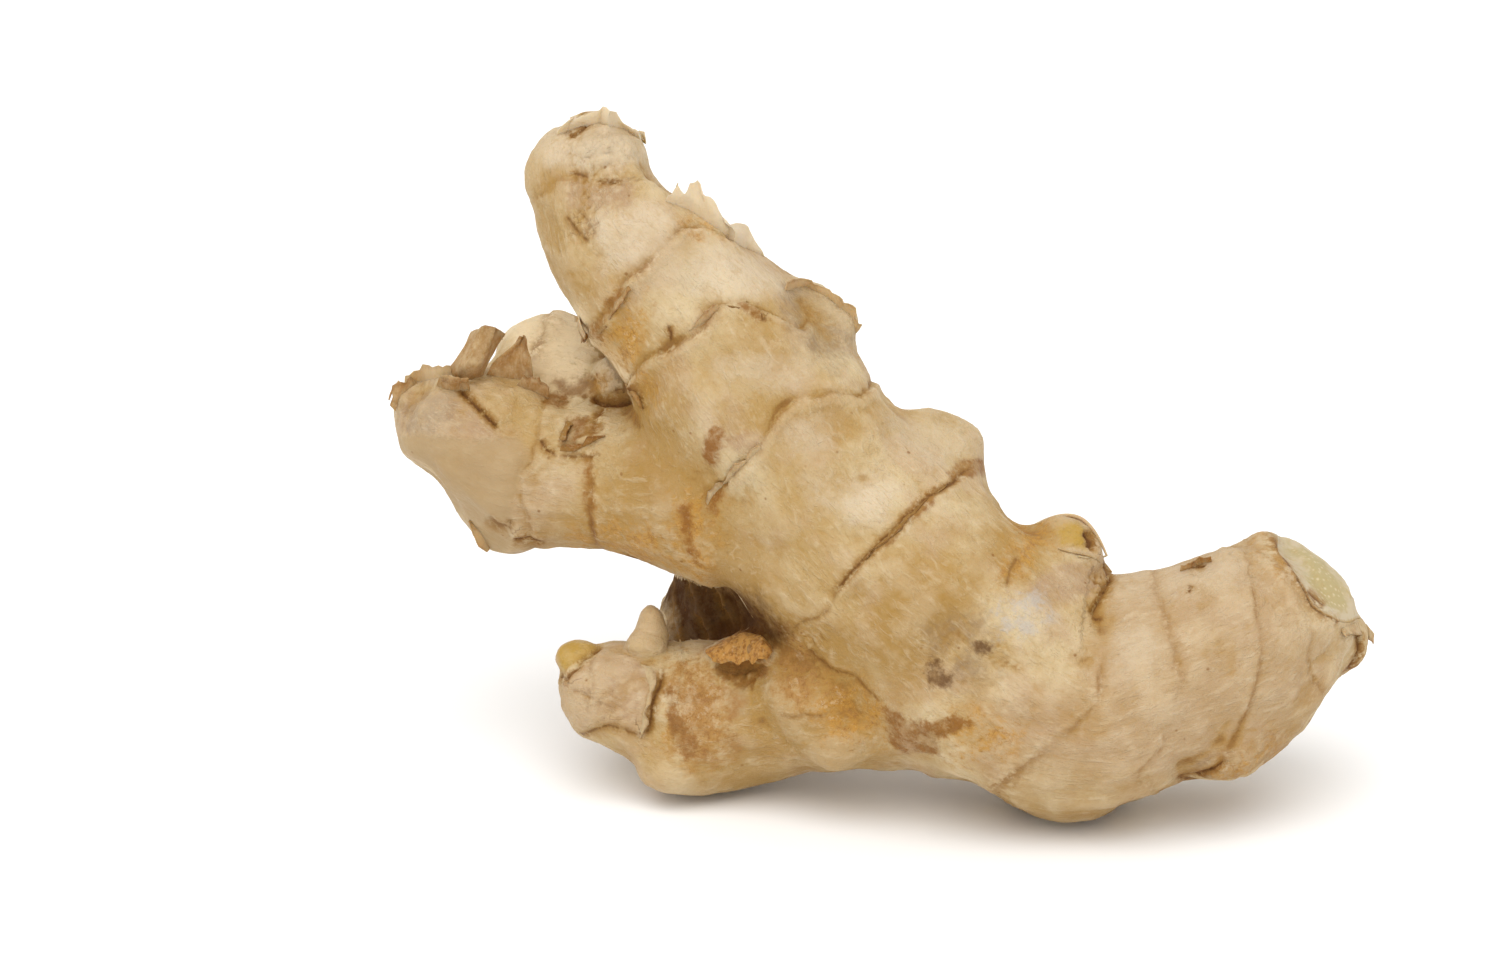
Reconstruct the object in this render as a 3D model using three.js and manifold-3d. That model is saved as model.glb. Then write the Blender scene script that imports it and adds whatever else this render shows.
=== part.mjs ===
// A fresh ginger root: one grown rhizome with a thick trunk, stubby fingers and a sawn-off end.
// Millimetres, +Z up, seen from the -Y side. The origin is at the bottom centre of its bounding box.
// The root stands on three places, its belly, its low finger and its back finger, where it is slightly flat.
import * as THREE from "three";
import { mergeVertices } from "three/addons/utils/BufferGeometryUtils.js";
import Module from "manifold-3d";

// Driving dimensions.
const SIDES = 28; // facets round a finger
const STEPS_PER_STATION = 3; // rings between two stations of a finger
const CAP_STEPS = 4; // rings that round off each end
const LEAN_DEG = 20; // the fingers' broad sides face this far above the horizon
const FLOOR_Z = 0;
const CUTTER_SIZE = 60; // edge of the boxes that cut the flat faces

const SKIN = new THREE.MeshStandardMaterial({
  name: "ginger_skin",
  color: new THREE.Color(0.6, 0.42, 0.22),
  roughness: 0.6,
  metalness: 0,
});

// The broad side's direction, from which a finger's width is measured across and its depth along.
const lean = THREE.MathUtils.degToRad(LEAN_DEG);
const TO_BACK = new THREE.Vector3(0, Math.cos(lean), -Math.sin(lean));
const TO_SIDE = new THREE.Vector3(1, 0, 0);

// Each station is [x, y, z, half width, half depth].
const FINGERS = {
  // From the tip of the upper finger down through the trunk and belly to the sawn right end.
  trunk: {
    broadSide: TO_BACK,
    stations: [
      [-42.2, 47, 102.4, 4.4, 4.2],
      [-43.2, 46, 98.4, 8.8, 8.6],
      [-43.2, 44, 91.2, 10.8, 10.6],
      [-41.0, 41.5, 86.2, 12.0, 11.8],
      [-35.8, 39, 81.2, 14.0, 13.6],
      [-27.0, 35, 72.0, 15.4, 15.0],
      [-19.0, 31, 61.0, 17.3, 17.0],
      [-8.6, 27, 46.9, 19.2, 18.4],
      [3.2, 23, 35.7, 20.4, 19.0],
      [15.6, 19.5, 25.1, 21.3, 19.4],
      [28.5, 16.5, 18.0, 19.2, 19.0],
      [40.7, 17, 20.6, 17.2, 17.1],
      [50.6, 20, 22.9, 17.0, 16.5],
      [58.4, 23, 25.6, 16.9, 16.4],
      [65.4, 25, 29.8, 13.6, 13.4],
      [70.8, 26, 31.2, 7.4, 7.2],
    ],
  },
  left_finger: {
    broadSide: TO_BACK,
    stations: [
      [-14.0, 28.5, 44.6, 17.0, 16.0],
      [-21.5, 31, 47.4, 16.2, 15.0],
      [-29.2, 34, 47.2, 14.4, 13.6],
      [-37.0, 38, 46.3, 12.8, 12.4],
      [-47.9, 41, 46.3, 12.3, 11.9],
      [-58.1, 43, 47.5, 14.2, 13.1],
      [-66.8, 45, 51.4, 12.0, 10.8],
      [-73.2, 46, 53.6, 7.4, 6.6],
    ],
  },
  upper_lobe: {
    broadSide: TO_BACK,
    stations: [
      [-29.3, 40, 51.9, 7.7, 7.7],
      [-37.1, 47, 53.8, 10.0, 9.6],
      [-46.6, 53, 55.6, 11.6, 11.0],
      [-54.4, 56, 56.2, 10.2, 9.8],
      [-60.6, 57, 55.6, 7.0, 6.8],
    ],
  },
  low_finger: {
    broadSide: TO_BACK,
    stations: [
      [2.0, 19, 18.2, 16.0, 15.0],
      [-9.8, 23, 15.4, 11.8, 11.4],
      [-21.5, 25, 12.9, 11.2, 11.2],
      [-30.8, 26, 11.3, 11.9, 11.9],
      [-38.5, 26, 13.6, 9.8, 9.8],
      [-45.5, 26, 15.9, 7.8, 7.8],
      [-49.2, 26, 16.4, 5.0, 5.2],
    ],
  },
  back_finger: {
    broadSide: TO_SIDE,
    stations: [
      [-5.0, 28, 38.0, 13.0, 14.0],
      [-15.6, 42, 26.8, 12.8, 13.2],
      [-22.4, 52, 15.4, 12.6, 12.6],
      [-25.6, 58, -3.6, 9.6, 10.0],
    ],
  },
  shoulder_knob: {
    broadSide: TO_BACK,
    stations: [
      [-18.5, 33, 61.5, 8.6, 8.2],
      [-9.8, 34, 70.0, 8.0, 7.6],
      [-5.2, 35, 73.4, 5.6, 5.4],
    ],
  },
  crease_knob: {
    broadSide: TO_BACK,
    stations: [
      [-1.0, 27, 46.0, 9.6, 9.2],
      [8.2, 29, 54.4, 8.2, 7.6],
      [11.4, 29, 57.0, 5.6, 5.2],
    ],
  },
  bud: {
    broadSide: TO_BACK,
    stations: [
      [22.7, 19, 27.0, 10.0, 9.1],
      [28.1, 22, 38.1, 7.6, 6.7],
      [29.9, 23, 41.6, 5.0, 4.4],
    ],
  },
  end_heel: {
    broadSide: TO_BACK,
    stations: [
      [46.1, 22, 15.9, 9.6, 9.2],
      [52.2, 24, 9.8, 7.8, 7.6],
      [56.0, 24, 6.8, 5.2, 5.0],
    ],
  },
  end_nub: {
    broadSide: TO_BACK,
    stations: [
      [64.0, 24, 25.4, 7.4, 7.0],
      [72.0, 25, 23.8, 4.6, 4.4],
      [75.4, 25, 23.2, 2.4, 2.4],
    ],
  },
};

// Flat faces: a point on each and its outward direction.
const FLATS = {
  floor: { at: [0, 0, FLOOR_Z], out: [0, 0, -1] },
  sawn_end: { at: [65.6, 23, 36.0], out: [0.64, -0.02, 0.76] },
  slanting_tip: { at: [-66.6, 40, 42.4], out: [-0.62, -0.42, -0.66] },
};

const wasm = await Module();
wasm.setup();

// A smooth curve through one stretch of three numbers from each station.
function through(stations, first) {
  const points = stations.map((s) => new THREE.Vector3(...s.slice(first, first + 3)));
  return new THREE.CatmullRomCurve3(points, false, "catmullrom", 0.5);
}

// The profile of a rod of unit radius from height 0 to 1 whose two ends round off over the given shares.
function roundedRod(startShare, endShare, rings) {
  const profile = [new THREE.Vector2(0, 0)];
  for (let i = 1; i < CAP_STEPS; i++) {
    const turn = (Math.PI / 2) * (i / CAP_STEPS);
    profile.push(new THREE.Vector2(Math.sin(turn), startShare * (1 - Math.cos(turn))));
  }
  for (let i = 0; i <= rings; i++) {
    const height = THREE.MathUtils.lerp(startShare, 1 - endShare, i / rings);
    profile.push(new THREE.Vector2(1, height));
  }
  for (let i = CAP_STEPS - 1; i > 0; i--) {
    const turn = (Math.PI / 2) * (i / CAP_STEPS);
    profile.push(new THREE.Vector2(Math.sin(turn), 1 - endShare * (1 - Math.cos(turn))));
  }
  profile.push(new THREE.Vector2(0, 1));
  return profile;
}

// One finger: a rounded rod, bent along its stations and made as wide and deep as they say.
function finger({ stations, broadSide }) {
  const path = through(stations, 0);
  const sizes = through(
    stations.map(([, , , wide, deep]) => [wide, deep, 0]),
    0,
  );
  const length = path.getLength();
  const startShare = stations[0][3] / length / 2;
  const endShare = stations[stations.length - 1][3] / length / 2;
  const rings = STEPS_PER_STATION * (stations.length - 1);
  const rod = new THREE.LatheGeometry(roundedRod(startShare, endShare, rings), SIDES);
  const vertices = rod.getAttribute("position");
  for (let i = 0; i < vertices.count; i++) {
    const along = vertices.getY(i);
    const forward = path.getTangent(along);
    const across = forward.clone().cross(broadSide).normalize();
    const inward = across.clone().cross(forward).normalize();
    const size = sizes.getPoint(along);
    const place = path
      .getPoint(along)
      .addScaledVector(across, vertices.getX(i) * size.x)
      .addScaledVector(inward, vertices.getZ(i) * size.y);
    vertices.setXYZ(i, place.x, place.y, place.z);
  }
  return rod;
}

// A solid from a closed geometry.
function solid(geometry) {
  const bare = geometry.clone();
  bare.deleteAttribute("normal");
  bare.deleteAttribute("uv");
  const merged = mergeVertices(bare, 1e-4);
  return new wasm.Manifold(
    new wasm.Mesh({
      numProp: 3,
      vertProperties: merged.getAttribute("position").array,
      triVerts: new Uint32Array(merged.index.array),
    }),
  );
}

// A box that takes away everything beyond a flat face.
function beyond({ at, out }, size) {
  const outward = new THREE.Vector3(...out).normalize();
  const box = new THREE.BoxGeometry(size, size, size);
  box.translate(0, 0, size / 2);
  box.applyQuaternion(
    new THREE.Quaternion().setFromUnitVectors(new THREE.Vector3(0, 0, 1), outward),
  );
  box.translate(...at);
  return solid(box);
}

// A geometry from a finished solid.
function geometryOf(made) {
  const { numProp, vertProperties, triVerts } = made.getMesh();
  const places = new Float32Array((vertProperties.length / numProp) * 3);
  for (let i = 0; i < places.length / 3; i++) {
    places.set(vertProperties.subarray(i * numProp, i * numProp + 3), i * 3);
  }
  const geometry = new THREE.BufferGeometry();
  geometry.setAttribute("position", new THREE.BufferAttribute(places, 3));
  geometry.setIndex(new THREE.BufferAttribute(new Uint32Array(triVerts), 1));
  return geometry;
}

// The whole root, grown as one piece.
function rhizome() {
  let grown = Object.values(FINGERS)
    .map((part) => solid(finger(part)))
    .reduce((whole, next) => whole.add(next));
  grown = grown.subtract(beyond(FLATS.floor, 4 * CUTTER_SIZE));
  grown = grown.subtract(beyond(FLATS.sawn_end, CUTTER_SIZE));
  grown = grown.subtract(beyond(FLATS.slanting_tip, CUTTER_SIZE / 2));
  const geometry = geometryOf(grown);
  geometry.computeBoundingBox();
  const centre = geometry.boundingBox.getCenter(new THREE.Vector3());
  geometry.translate(-centre.x, -centre.y, 0);
  geometry.computeVertexNormals();
  const mesh = new THREE.Mesh(geometry, SKIN);
  mesh.name = "rhizome";
  return mesh;
}

const gingerRoot = new THREE.Group();
gingerRoot.add(rhizome());

export default gingerRoot;
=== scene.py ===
"""A fresh ginger root: its ringed skin, torn scales, buds, sprout and sawn end.

Lengths are in millimetres until a mesh is stored. A pixel is a place in the picture, 1500 wide and 964 high.
"""
import logging
import math
from dataclasses import dataclass, field
from enum import Enum

import bpy
import numpy as np
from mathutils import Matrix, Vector
from mathutils.bvhtree import BVHTree


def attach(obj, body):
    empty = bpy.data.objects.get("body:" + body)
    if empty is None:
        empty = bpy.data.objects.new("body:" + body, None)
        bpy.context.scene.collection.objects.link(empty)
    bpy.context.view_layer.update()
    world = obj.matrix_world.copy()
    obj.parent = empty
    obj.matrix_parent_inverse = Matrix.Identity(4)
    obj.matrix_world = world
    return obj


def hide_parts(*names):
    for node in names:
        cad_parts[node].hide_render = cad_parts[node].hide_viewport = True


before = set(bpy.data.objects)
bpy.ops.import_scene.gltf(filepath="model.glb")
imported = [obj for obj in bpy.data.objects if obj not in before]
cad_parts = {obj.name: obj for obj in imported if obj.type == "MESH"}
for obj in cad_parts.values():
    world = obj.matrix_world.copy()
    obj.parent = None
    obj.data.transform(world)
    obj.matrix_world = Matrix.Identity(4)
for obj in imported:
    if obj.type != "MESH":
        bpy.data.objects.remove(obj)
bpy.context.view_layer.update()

log = logging.getLogger("ginger")

MM = 0.001
PICTURE = (1500, 964)
PIXEL_MM = 0.152  # what a pixel spans on the root
LEAN = math.radians(20)  # how steeply the camera looks down, and the fingers' broad sides look up
BODY = "root"
NODE = "rhizome"
SAWN_WAY = (0.64, -0.02, 0.76)  # the way that the sawn face looks
# How far the root was moved to put its box's bottom centre at the origin.
BASE_CENTRE = np.array((0.575, 32.159, 0.0))

Pixel = tuple[float, float]
Numbers = tuple[float, ...]
Colour = tuple[float, float, float]
Array = np.ndarray


class Facing(Enum):
    """The way a finger's broad side looks."""

    TO_BACK = (0.0, math.cos(LEAN), -math.sin(LEAN))
    TO_SIDE = (1.0, 0.0, 0.0)


class Mark(Enum):
    """What a patch of skin looks like; some kinds carry painted shade or painted light."""

    # Ochre skin, with painted shade on undersides, edges and joins.
    OCHRE = "ochre"
    BLUSH = "blush"
    PALE = "pale"
    # Painted light: lifts skin that lies in shade.
    LIGHT = "light"
    PINK = "pink"
    GREY = "grey"
    SMOOTH = "smooth"
    # Whitish scuffed skin, and painted highlights on lit tops.
    SCUFF = "scuff"
    # Painted highlight: a whitish shiny spot.
    SHEEN = "sheen"
    ORANGE = "orange"
    # Brown stains, and painted shade under the crumbly knob.
    STAIN = "stain"
    CRUST = "crust"
    BUD = "bud"
    FLESH = "flesh"
    DARK = "dark"
    RUSSET = "russet"
    # Painted shade in the gaps between fingers, over the back finger's own dark skin.
    GLOOM = "gloom"


def in_rows(numbers: Numbers, width: int = 2) -> Array:
    """Numbers that are listed in turn as rows, of a pixel each or of a pixel and a height."""
    return np.array(numbers, float).reshape(-1, width)


def unit(vectors: Array) -> Array:
    """The vectors, each made one long."""
    return vectors / np.maximum(np.linalg.norm(vectors, axis=-1, keepdims=True), 1e-12)


def smooth_step(value: Array, low: float, high: float) -> Array:
    """Rises smoothly from 0 at low to 1 at high."""
    share = np.clip((value - low) / (high - low), 0.0, 1.0)
    return share * share * (3.0 - 2.0 * share)


def hump(value: Array, middle: float, width: float) -> Array:
    """A soft hump, 1 high at its middle."""
    return np.exp(-(((value - middle) / width) ** 2))


def curve_between(before: Array, start: Array, end: Array, after: Array, t: Array | float) -> Array:
    """Points on the smooth curve from start to end, at shares t of the way."""
    bend = 2 * before - 5 * start + 4 * end - after
    twist = 3 * start - before - 3 * end + after
    return 0.5 * (2 * start + (end - before) * t + bend * t**2 + twist * t**3)


def lengths_along(row: Array) -> Array:
    """How far along a line each of its points is."""
    return np.concatenate(((0.0,), np.cumsum(np.linalg.norm(np.diff(row, axis=0), axis=1))))


def spread_evenly(row: Array, count: int) -> Array:
    """A line's points spread evenly along it."""
    steps = lengths_along(row)
    wanted = np.linspace(0.0, steps[-1], count)
    return np.stack([np.interp(wanted, steps, part) for part in row.T], axis=1)


def select_only(thing: bpy.types.Object) -> None:
    """Deselects everything and makes one object the active and selected one."""
    bpy.ops.object.select_all(action="DESELECT")
    thing.select_set(True)
    bpy.context.view_layer.objects.active = thing


def add_object(name: str, data: bpy.types.ID) -> bpy.types.Object:
    """Puts a new object in the scene."""
    made = bpy.data.objects.new(name, data)
    bpy.context.scene.collection.objects.link(made)
    return made


def apply_modifier(thing: bpy.types.Object, kind: str, **settings: object) -> None:
    """Adds a modifier to an object and applies it.

    Args:
        thing: the object that is changed.
        kind: the modifier's type.
        settings: the modifier's properties.
    """
    select_only(thing)
    modifier = thing.modifiers.new(kind.lower(), kind)
    for name, value in settings.items():
        setattr(modifier, name, value)
    bpy.ops.object.modifier_apply(modifier=modifier.name)


def vertices_of(mesh: bpy.types.Mesh) -> Array:
    """A mesh's vertices, one row each."""
    flat = np.empty(len(mesh.vertices) * 3)
    mesh.vertices.foreach_get("co", flat)
    return flat.reshape(-1, 3) / MM


def put_vertices(mesh: bpy.types.Mesh, places: Array) -> None:
    """Moves a mesh's vertices."""
    mesh.vertices.foreach_set("co", (places * MM).ravel())
    mesh.update()


def normals_of(mesh: bpy.types.Mesh) -> Array:
    """A mesh's vertex normals, one row each."""
    flat = np.empty(len(mesh.vertices) * 3)
    mesh.vertex_normals.foreach_get("vector", flat)
    return flat.reshape(-1, 3)


def put_number(mesh: bpy.types.Mesh, name: str, values: Array) -> None:
    """Stores one number on each vertex."""
    layer = mesh.attributes.new(name, "FLOAT", "POINT")
    layer.data.foreach_set("value", values.astype(np.float32))


def put_vector(mesh: bpy.types.Mesh, name: str, values: Array) -> None:
    """Stores one vector on each vertex."""
    layer = mesh.attributes.new(name, "FLOAT_VECTOR", "POINT")
    layer.data.foreach_set("vector", values.astype(np.float32).ravel())


def ripples(points: Array, *fields: tuple[int, float, float], waves: int = 28) -> Array:
    """Smooth random fields made of many plane waves.

    Args:
        points: where the fields are read, one row each.
        fields: the seed, the wavelength and the height of each field. Its lumps are about half a wavelength
            across, and its values lie mostly within its height.
        waves: how many waves make a field.

    Returns:
        The sum of the fields at each point.
    """
    total = np.zeros(len(points))
    for seed, wavelength, height in fields:
        dice = np.random.default_rng(seed)
        directions = unit(dice.normal(size=(waves, 3)))
        lengths = wavelength * dice.uniform(0.6, 1.7, waves)
        phases = dice.uniform(0, 2 * math.pi, waves)
        waving = np.zeros(len(points))
        for direction, length, phase in zip(directions, lengths, phases):
            waving += np.sin(points @ (direction * 2 * math.pi / length) + phase)
        total += height * waving * math.sqrt(2.0 / waves) * 0.6
    return total


@dataclass(frozen=True)
class PhotoCamera:
    """The camera that saw the root, in the root's own frame."""

    target: tuple[float, float, float] = (-20.575, -17.159, 54.1)
    elevation: float = LEAN
    distance: float = 800.0
    lens: float = 128.0
    sensor: float = 36.0

    @property
    def forward(self) -> Array:
        """The way it looks."""
        return np.array((0.0, math.cos(self.elevation), -math.sin(self.elevation)))

    @property
    def up(self) -> Array:
        """The way that is up in its picture."""
        return np.array((0.0, math.sin(self.elevation), math.cos(self.elevation)))

    @property
    def place(self) -> Array:
        """Where it stands."""
        return np.array(self.target) - self.distance * self.forward

    @property
    def pixels_per_slope(self) -> float:
        """How many pixels a ray moves for each unit of its slope."""
        return PICTURE[0] * self.lens / self.sensor

    def picture_of(self, points: Array) -> tuple[Array, Array]:
        """Where points fall in the picture.

        Args:
            points: the points, one row each.

        Returns:
            Their pixels, one row each, and how far they are in front of the camera.
        """
        away = points - self.place
        depth = away @ self.forward
        across = away[:, 0] / depth * self.pixels_per_slope
        height = (away @ self.up) / depth * self.pixels_per_slope
        return np.stack((PICTURE[0] / 2 + across, PICTURE[1] / 2 - height), axis=1), depth

    def ray(self, pixel: Pixel) -> Array:
        """The direction, one deep along the view, that passes through a pixel."""
        across = (pixel[0] - PICTURE[0] / 2) / self.pixels_per_slope
        height = (PICTURE[1] / 2 - pixel[1]) / self.pixels_per_slope
        return self.forward + np.array((across, 0.0, 0.0)) + self.up * height

    def first_hit(self, tree: BVHTree, pixel: Pixel) -> Array | None:
        """The first place of a surface that a pixel shows, or none."""
        return cast(tree, self.place, unit(self.ray(pixel)))

    def lift(self, points: Array, depths: Array) -> Array:
        """The places of points, each a pixel and how far it stands towards the camera from a depth."""
        rays = np.array([self.ray(pixel) for pixel in points[:, :2]])
        return self.place + rays * (depths - points[:, 2])[:, None]

    def add(self) -> None:
        """Puts the camera in the scene."""
        data = bpy.data.cameras.new("photo_camera")
        data.lens = self.lens
        data.sensor_width = self.sensor
        data.sensor_fit = "HORIZONTAL"
        data.clip_start = 0.05
        data.clip_end = 20.0
        camera = add_object("photo_camera", data)
        camera.location = self.place * MM
        camera.rotation_euler = (math.pi / 2 - self.elevation, 0.0, 0.0)
        bpy.context.scene.camera = camera


def cast(tree: BVHTree, start: Array, way: Array) -> Array | None:
    """The first place of a surface that a ray meets, or none.

    Args:
        tree: the surface's search tree.
        start: where the ray starts.
        way: the way it runs.

    Returns:
        The place, or none.
    """
    place, _, _, _ = tree.ray_cast(Vector(start), Vector(way))
    return None if place is None else np.array(place)


CAMERA = PhotoCamera()


@dataclass(frozen=True)
class Ring:
    """A line round a finger where a leaf scale sat.

    Fields:
        seen: pixels that it passes through, x and y in turn, or none where it is hidden.
        at: its distance along the finger, where it has no pixels.
        ink: how brown its line is.
        lip: how high its edge stands.
        side: 1 where the far side of the line is the lower one, or -1.
    """

    seen: Numbers = ()
    at: float = 0.0
    ink: float = 0.6
    lip: float = 0.35
    side: int = 1


@dataclass(frozen=True)
class Finger:
    """One finger's middle line, its widths and its rings.

    Each station is x, y, z, half width and half depth, before the root was moved to its origin.
    """

    name: str
    stations: tuple[Numbers, ...]
    facing: Facing = Facing.TO_BACK
    rings: tuple[Ring, ...] = ()
    step: float = 0.7

    def line(self) -> "FingerLine":
        """The finger's middle line in fine steps.

        Returns:
            The line.
        """
        knots = np.array(self.stations, float)
        knots[:, :3] -= BASE_CENTRE
        padded = np.vstack((2 * knots[0] - knots[1], knots, 2 * knots[-1] - knots[-2]))
        rows = []
        for before, start, end, after in zip(padded, padded[1:], padded[2:], padded[3:]):
            count = max(2, int(np.linalg.norm(end[:3] - start[:3]) / self.step))
            shares = np.linspace(0.0, 1.0, count, endpoint=False)[:, None]
            rows.append(curve_between(before, start, end, after, shares))
        return FingerLine(np.vstack((*rows, knots[-1:])), self.facing)


class FingerLine:
    """A finger's middle line, and where points lie along and round it."""

    batch = 20000  # how many points are compared with the line at a time

    def __init__(self, rows: Array, facing: Facing) -> None:
        """Works out the line's directions and lengths from its fine steps.

        Args:
            rows: x, y, z, half width and half depth at each step.
            facing: the way the broad side looks.
        """
        self.points = rows[:, :3]
        self.sizes = np.maximum(rows[:, 3:5], 1.0)
        self.forward = unit(np.gradient(self.points, axis=0))
        self.across = unit(np.cross(self.forward, np.array(facing.value)))
        self.inward = unit(np.cross(self.across, self.forward))
        self.along = lengths_along(self.points)

    def locate(self, places: Array) -> tuple[Array, Array, Array]:
        """Straightens the finger.

        Args:
            places: points, one row each.

        Returns:
            Across, inward and along for each point, its angle round the finger, and its distance outside it.
        """
        nearest = np.empty(len(places), int)
        for start in range(0, len(places), self.batch):
            part = slice(start, start + self.batch)
            gaps = ((places[part, None, :] - self.points[None]) ** 2).sum(axis=2)
            nearest[part] = gaps.argmin(axis=1)
        away = places - self.points[nearest]
        across = (away * self.across[nearest]).sum(axis=1)
        inward = (away * self.inward[nearest]).sum(axis=1)
        ahead = (away * self.forward[nearest]).sum(axis=1)
        sizes = self.sizes[nearest]
        wide, deep = sizes.T
        share = np.sqrt((across / wide) ** 2 + (inward / deep) ** 2 + (ahead / wide) ** 2)
        outside = (share - 1.0) * sizes.mean(axis=1)
        straight = np.stack((across, inward, self.along[nearest] + ahead), axis=1)
        return straight, np.arctan2(inward, across), outside


@dataclass(frozen=True)
class Trace:
    """A line drawn on the skin: a crease, a torn edge or a thin scar.

    Fields:
        path: the pixels that it passes through, x and y in turn.
        ink: how brown its line is.
        groove: how deep it cuts.
        lip: how high the skin stands on its left as it runs.
        width: how wide the groove and the lip are.
    """

    path: Numbers
    ink: float = 0.7
    groove: float = 0.3
    lip: float = 0.0
    width: float = 0.7


@dataclass(frozen=True)
class Patch:
    """A patch of skin with its own colour and height.

    Fields:
        outline: the pixels round it, x and y in turn.
        rise: how high it stands above the skin beside it.
        edge: how far its step reaches.
        back: only skin that lies further back than this is marked.
    """

    outline: Numbers
    rise: float = 0.0
    edge: float = 0.5
    back: float = -math.inf


@dataclass(frozen=True)
class Bump:
    """A bump round a pixel, or a dent where its height is below zero."""

    pixel: Pixel
    reach: float
    height: float


@dataclass(frozen=True)
class Flap:
    """A thin papery scale that stands off the skin.

    Fields:
        root: the pixels of its root line, x and y in turn.
        rows: the lines across it from there to its torn edge. Each is a pixel's x and y and how far that point
            stands towards the camera from the skin at its root, in turn.
        sunk: how deep the root line lies in the skin.
        ragged: how deep its edge is torn.
        tint: 0 for pale straw, 1 for dark brown, 2 for rusty crust, -1 for skin.
    """

    root: Numbers
    rows: tuple[Numbers, ...]
    sunk: float = 0.3
    ragged: float = 0.4
    tint: float = 0.4

    @property
    def lines(self) -> list[Array]:
        """All its lines, with a pixel and a height in each row."""
        root = in_rows(self.root)
        sunk = np.full((len(root), 1), -self.sunk)
        return [np.hstack((root, sunk)), *(in_rows(row, 3) for row in self.rows)]


@dataclass(frozen=True)
class Strand:
    """A dry fibre that lies on the skin.

    Fields:
        path: its points, each a pixel's x and y and how far the fibre stands off the skin, in turn.
        thickness: its diameter.
        tint: 0 for pale straw, 1 for dark brown.
    """

    path: Numbers
    thickness: float = 0.45
    tint: float = 0.2


@dataclass(frozen=True)
class Remnant:
    """A torn scale left on a ring where the camera doesn't see.

    Fields:
        finger: the place of its finger in the list.
        along: how far along the finger it sits.
        start: the angle round the finger at which it starts, in degrees.
        sweep: how many degrees it reaches.
        length: how long it is along the finger. Below zero it points to the finger's start.
        lift: how far its torn edge stands off.
        tint: 0 for pale straw, 1 for dark brown.
    """

    finger: int
    along: float
    start: float
    sweep: float
    length: float = 3.0
    lift: float = 0.9
    tint: float = 0.45


@dataclass(frozen=True)
class Knob:
    """A small round lump that grows out of the skin.

    Fields:
        pixel: where its middle is in the picture.
        behind: how far its middle lies behind the skin there.
        radii: its half sizes across, up and along the view.
        rise: how far its middle is above that place in the picture.
    """

    pixel: Pixel
    behind: float
    radii: tuple[float, float, float]
    rise: float = 0.0

    @property
    def broad(self) -> bool:
        """Whether it is big enough to melt into the fingers."""
        return max(self.radii) >= 4.5 and self.radii[0] >= 3.0


def distance_to_path(pixels: Array, path: Array) -> tuple[Array, Array, Array]:
    """How far pixels are from a path.

    Args:
        pixels: the pixels, one row each.
        path: the path's corners, one row each.

    Returns:
        The distance, the share of the path's length at the nearest point, and 1 on its left or -1 on its right.
    """
    best = np.full(len(pixels), np.inf)
    share = np.zeros(len(pixels))
    side = np.ones(len(pixels))
    starts = lengths_along(path)
    for start, end, before, length in zip(path, path[1:], starts, np.diff(starts)):
        run = (end - start) / max(length, 1e-9)
        away = pixels - start
        along = np.clip(away @ run, 0.0, length)
        gap = np.linalg.norm(away - along[:, None] * run, axis=1)
        closer = gap < best
        best = np.where(closer, gap, best)
        share = np.where(closer, (before + along) / starts[-1], share)
        turn = away[:, 0] * run[1] - away[:, 1] * run[0]
        side = np.where(closer, np.where(turn > 0, 1.0, -1.0), side)
    return best, share, side


def depth_in_outline(pixels: Array, outline: Array) -> Array:
    """How deep pixels lie inside a closed outline, below zero outside it.

    Args:
        pixels: the pixels, one row each.
        outline: the outline's corners, one row each.

    Returns:
        The distance of each pixel from the outline.
    """
    closed = np.vstack((outline, outline[:1]))
    gap, _, _ = distance_to_path(pixels, closed)
    inside = np.zeros(len(pixels), bool)
    for (x0, y0), (x1, y1) in zip(closed, closed[1:]):
        crosses = (y0 > pixels[:, 1]) != (y1 > pixels[:, 1])
        slope = (x1 - x0) / (y1 - y0 if abs(y1 - y0) > 1e-9 else 1e-9)
        inside ^= crosses & (pixels[:, 0] < x0 + (pixels[:, 1] - y0) * slope)
    return np.where(inside, gap, -gap)


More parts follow.
